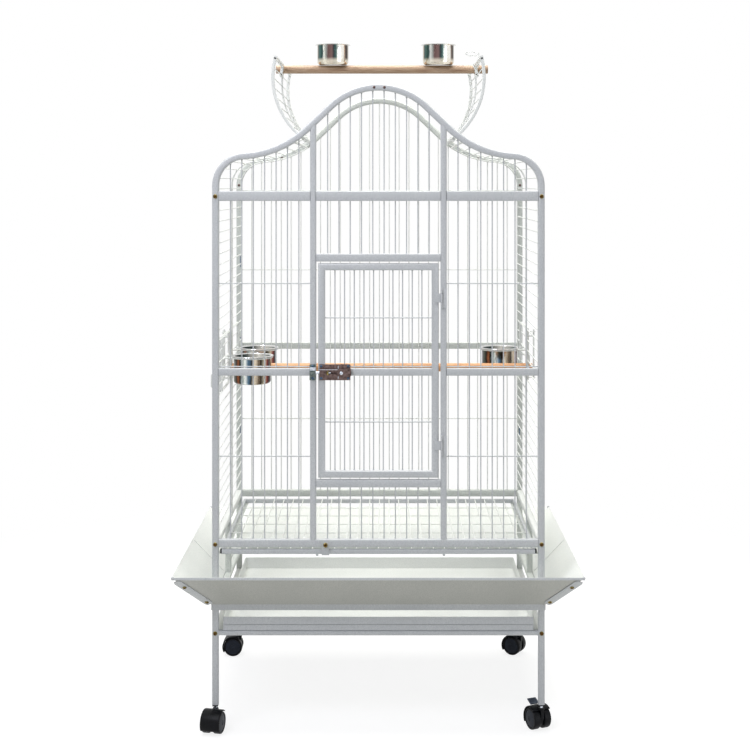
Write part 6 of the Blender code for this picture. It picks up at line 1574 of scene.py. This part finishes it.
# The cross recess is a near-black russet cross: pooled chromate and painted shade.
thumb_cross = [plate((thumb_x - u, thumb_x + u), (slot_face + 0.0014, slot_face + 0.0001),
                     (THUMB_SCREW_HEIGHT - v, THUMB_SCREW_HEIGHT + v), CROSS_CORNER) for u, v in CROSS_ARMS]
add_piece("thumb_screw_cross", thumb_cross, russet_and_recess_shade_zinc, "grate")

# Tray: one coated sheet folded up at all four sides under the grate, with a pressed line along its
# front that stiffens it. It slides out over the tray rails.
TRAY_HALF = 0.380
TRAY_FRONT = FRONT_FACE + 0.003
TRAY_BACK = BACK_FACE - 0.022
TRAY_HEIGHT = 0.0335
TRAY_WALL = 0.0018
TRAY_CORNER = 0.004
TRAY_LINE = (0.0138, 0.0152)
TRAY_LINE_DEPTH = 0.0016
TRAY_EDGE = 0.0006
TRAY_FOLD = 0.0012
TRAY_FILLET = 0.0025
tray_low = TRAY_RAIL[1] + SEAT_GAP
tray_top = tray_low + TRAY_HEIGHT


def tray_ring(inset, z, front_inset=0.0):
    """Return one level of the tray: a rounded rectangle drawn in by an inset."""
    radius = max(TRAY_CORNER - inset, 0.0008)
    ring = []
    for number, (u, v) in enumerate(((1, 1), (-1, 1), (-1, -1), (1, -1))):
        edge = TRAY_BACK if v > 0 else -TRAY_FRONT
        for step in range(5):
            angle = math.pi / 2 * (number + step / 4)
            y = v * (edge - inset - radius) + radius * math.sin(angle)
            ring.append((u * (TRAY_HALF - inset - radius) + radius * math.cos(angle),
                         max(y, TRAY_FRONT + front_inset), z))
    return ring


line_low, line_high = tray_low + TRAY_LINE[0], tray_low + TRAY_LINE[1]
tray_floor = tray_low + TRAY_WALL
tray_rings = [
    tray_ring(TRAY_FOLD, tray_low), tray_ring(0.0, tray_low + TRAY_FOLD), tray_ring(0.0, line_low),
    tray_ring(0.0, line_low + 0.0001, TRAY_LINE_DEPTH), tray_ring(0.0, line_high - 0.0001, TRAY_LINE_DEPTH),
    tray_ring(0.0, line_high), tray_ring(0.0, tray_top - TRAY_EDGE), tray_ring(0.0005, tray_top),
    tray_ring(TRAY_WALL - 0.0005, tray_top), tray_ring(TRAY_WALL, tray_top - TRAY_EDGE),
    tray_ring(TRAY_WALL, tray_floor + TRAY_FILLET), tray_ring(TRAY_WALL + 0.0008, tray_floor + 0.0007),
    tray_ring(TRAY_WALL + TRAY_FILLET, tray_floor)]
pan = add_piece("tray_pan", [loft(tray_rings)], white_coat, "tray", ["tray"])
# The front wall's outside takes the front frame's silver copy of the coat as painted shade, a grey
# strip under the white inside.
pan.data.materials.append(painted_shade_silver_coat)
for face in pan.data.polygons:
    if face.center.y < TRAY_FRONT + TRAY_LINE_DEPTH + 0.0001 and face.center.z < tray_top - 0.0002:
        face.material_index = 1

# Casters: a black plug closes each leg and holds the plated stem, on which a moulded hood and web
# swivel. Two wheels with slate hub caps run on one axle, and the right casters have a brake lever.
# A row gives the name, the side, the end, the heading in degrees and whether there is a brake.
CASTERS = (("front_left", -1, -1, 167.0, False), ("front_right", 1, -1, 24.5, True),
           ("back_left", -1, 1, 90.0, False), ("back_right", 1, 1, 60.0, True))
CASTER_TRAIL = 0.016
WHEEL_RADIUS = 0.026
WHEEL_WIDTH = 0.0175
WHEEL_SPACING = 0.012
HOOD_FROM, HOOD_TO = -30.0, 125.0
HOOD_INNER, HOOD_OUTER = 0.0275, 0.0305
HOOD_WIDTH = 0.049
WEB_RADIUS = 0.020
WEB_THICKNESS = 0.009
BOSS_TOP = 0.0556
STEM_RADIUS = 0.0042
PLUG_LOW = 0.0603
BRAKE_PLACE = math.radians(62.0)
BRAKE_TILT = math.radians(25.0)
BRAKE_SIZE = (0.024, 0.020, 0.003)
BRAKE_LIFT = 0.0007
BRAKE_RIBS = 4
BRAKE_RIB_PITCH = 0.0030
HOOD_STEPS = 32
HOOD_TIP_SHARE = 0.6
AXLE_RADIUS = 0.0030
AXLE_HOLE = 0.0034
PLUG_HALF = 0.0072
HUB_SPOKES = 5
HUB_SPOKE_ENDS = (0.0060, 0.0185)
RIDGE_FROM, RIDGE_PITCH, RIDGE_STEPS = 20, 4.5, 20
WEB_ENDS = (-0.0065, 0.0075)
WEB_TOP = 0.0540


def placed(shape, matrix):
    """Return a shape moved by a matrix."""
    points, faces = shape
    return [matrix @ Vector(point) for point in points], faces


hood_half = HOOD_WIDTH / 2
web_half = WEB_THICKNESS / 2
hood_section = [(-hood_half + 0.0005, HOOD_INNER), (-hood_half, HOOD_INNER + 0.0005),
                (-hood_half, HOOD_OUTER - 0.0016), (-hood_half + 0.0010, HOOD_OUTER - 0.0005),
                (-hood_half + 0.0032, HOOD_OUTER)]
hood_section += [(-x, radius) for x, radius in reversed(hood_section)]
tread = [(AXLE_RADIUS, 0.0), (WHEEL_RADIUS - 0.0014, 0.0), (WHEEL_RADIUS - 0.0003, 0.0009),
         (WHEEL_RADIUS, 0.0024), (WHEEL_RADIUS, WHEEL_WIDTH - 0.0030),
         (WHEEL_RADIUS - 0.0005, WHEEL_WIDTH - 0.0012), (WHEEL_RADIUS - 0.0020, WHEEL_WIDTH),
         (WHEEL_RADIUS - 0.0042, WHEEL_WIDTH), (WHEEL_RADIUS - 0.0050, WHEEL_WIDTH - 0.0016),
         (AXLE_RADIUS, WHEEL_WIDTH - 0.0018)]
hub_cap = [(AT_AXIS, WHEEL_WIDTH - 0.0022), (WHEEL_RADIUS - 0.0056, WHEEL_WIDTH - 0.0022),
           (WHEEL_RADIUS - 0.0058, WHEEL_WIDTH - 0.0010), (WHEEL_RADIUS - 0.0120, WHEEL_WIDTH - 0.0002),
           (0.0062, WHEEL_WIDTH), (0.0058, WHEEL_WIDTH - 0.0010), (AT_AXIS, WHEEL_WIDTH - 0.0008)]
boss = [(0.0032, 0.0500), (0.0075, 0.0500), (0.0078, 0.0510), (0.0078, 0.0525), (0.0070, 0.0530),
        (0.0070, BOSS_TOP - 0.0008), (0.0064, BOSS_TOP), (0.0032, BOSS_TOP)]
hub_spoke = square_bar(0.0016, 0.0022, 0.0004)
for name, side, end, heading, braked in CASTERS:
    leg = Matrix.Translation((side * leg_x, end * leg_y, 0.0))
    turn = leg @ Matrix.Rotation(math.radians(heading), 4, "Z")
    centre = Vector((0.0, CASTER_TRAIL, WHEEL_RADIUS))
    rings = []
    for step in range(HOOD_STEPS + 1):
        angle = math.radians(HOOD_FROM + (HOOD_TO - HOOD_FROM) * (step / HOOD_STEPS))
        spoke = Vector((0.0, math.cos(angle), math.sin(angle)))
        thin = HOOD_TIP_SHARE if step in (0, HOOD_STEPS) else 1.0
        rings.append([centre + Vector((x, 0, 0)) + spoke * (HOOD_INNER + (radius - HOOD_INNER) * thin)
                      for x, radius in hood_section])
    ridge = [centre + Vector((0.0, math.cos(angle), math.sin(angle))) * (HOOD_OUTER - 0.0002)
             for angle in (math.radians(RIDGE_FROM + RIDGE_PITCH * step) for step in range(RIDGE_STEPS + 1))]
    housing = [
        loft(rings),
        swept(ridge, square_bar(0.0060, 0.0012, 0.0005), across=(1, 0, 0)),
        turned(barrel(WEB_RADIUS, -web_half, web_half, 0.0008, AXLE_HOLE), centre, (1, 0, 0), 40),
        plate((-web_half + SEAT_GAP, web_half - SEAT_GAP), (WEB_ENDS[0], CASTER_TRAIL + WEB_ENDS[1]),
              (WHEEL_RADIUS, WEB_TOP), 0.0010),
        turned(boss, (0, 0, 0), sides=32)]
    add_piece(f"{name}_caster_hood", [placed(shape, turn) for shape in housing], black_nylon,
              f"caster_{name}", [f"caster_housing_{name}"])
    stem = turned(barrel(STEM_RADIUS, BOSS_TOP - 0.002, PLUG_LOW + 0.0008), (0, 0, 0), sides=24)
    add_piece(f"{name}_caster_stem", [placed(stem, turn)], nickel_plate, f"caster_{name}")
    plug = plate((-PLUG_HALF, PLUG_HALF), (-PLUG_HALF, PLUG_HALF), (PLUG_LOW, LEG_BOTTOM + 0.0006), 0.0012)
    add_piece(f"{name}_leg_plug", [placed(plug, leg)], black_nylon, "cage")
    wheels, caps = [], []
    for sign in (-1, 1):
        near = centre + Vector((sign * WHEEL_SPACING / 2, 0, 0))
        wheels.append(placed(turned(tread, near, (sign, 0, 0), 64), turn))
        caps.append(placed(turned(hub_cap, near, (sign, 0, 0), 48), turn))
        hub_face = near + Vector((sign * (WHEEL_WIDTH - 0.0010), 0, 0))
        for index in range(HUB_SPOKES):
            angle = math.tau * (index + 0.25) / HUB_SPOKES
            arm = Vector((0.0, math.cos(angle), math.sin(angle)))
            spoke = swept([hub_face + arm * reach for reach in HUB_SPOKE_ENDS], hub_spoke, across=(1, 0, 0))
            caps.append(placed(spoke, turn))
    axle = barrel(AXLE_RADIUS, -WHEEL_SPACING / 2 - RUN_IN, WHEEL_SPACING / 2 + RUN_IN)
    wheels.append(placed(turned(axle, centre, (1, 0, 0), 20), turn))
    add_piece(f"{name}_caster_tyres", wheels, black_nylon, f"wheels_{name}", [f"caster_wheels_{name}"])
    add_piece(f"{name}_caster_hubs", caps, slate_nylon, f"wheels_{name}")
    if braked:
        width, length, thickness = BRAKE_SIZE
        seat = HOOD_OUTER + SEAT_GAP + thickness / 2 * math.sin(BRAKE_PLACE - BRAKE_TILT)
        root = centre + Vector((0.0, math.cos(BRAKE_PLACE), math.sin(BRAKE_PLACE))) * seat
        tilt = turn @ Matrix.Translation(root) @ Matrix.Rotation(BRAKE_TILT, 4, "X")
        lever = [plate((-width / 2, width / 2), (0.0, length), (-thickness / 2 + BRAKE_LIFT, thickness / 2),
                       0.0010)]
        for index in range(BRAKE_RIBS):
            y = length - BRAKE_RIB_PITCH * (index + 1)
            lever.append(plate((-width / 2 + 0.003, width / 2 - 0.003), (y - 0.0006, y + 0.0006),
                               (thickness / 2 - 0.0004, thickness / 2 + 0.0007), 0.0004))
        add_piece(f"{name}_brake_pedal", [placed(shape, tilt) for shape in lever], grey_nylon,
                  f"brake_{name}", [f"brake_lever_{name}"])
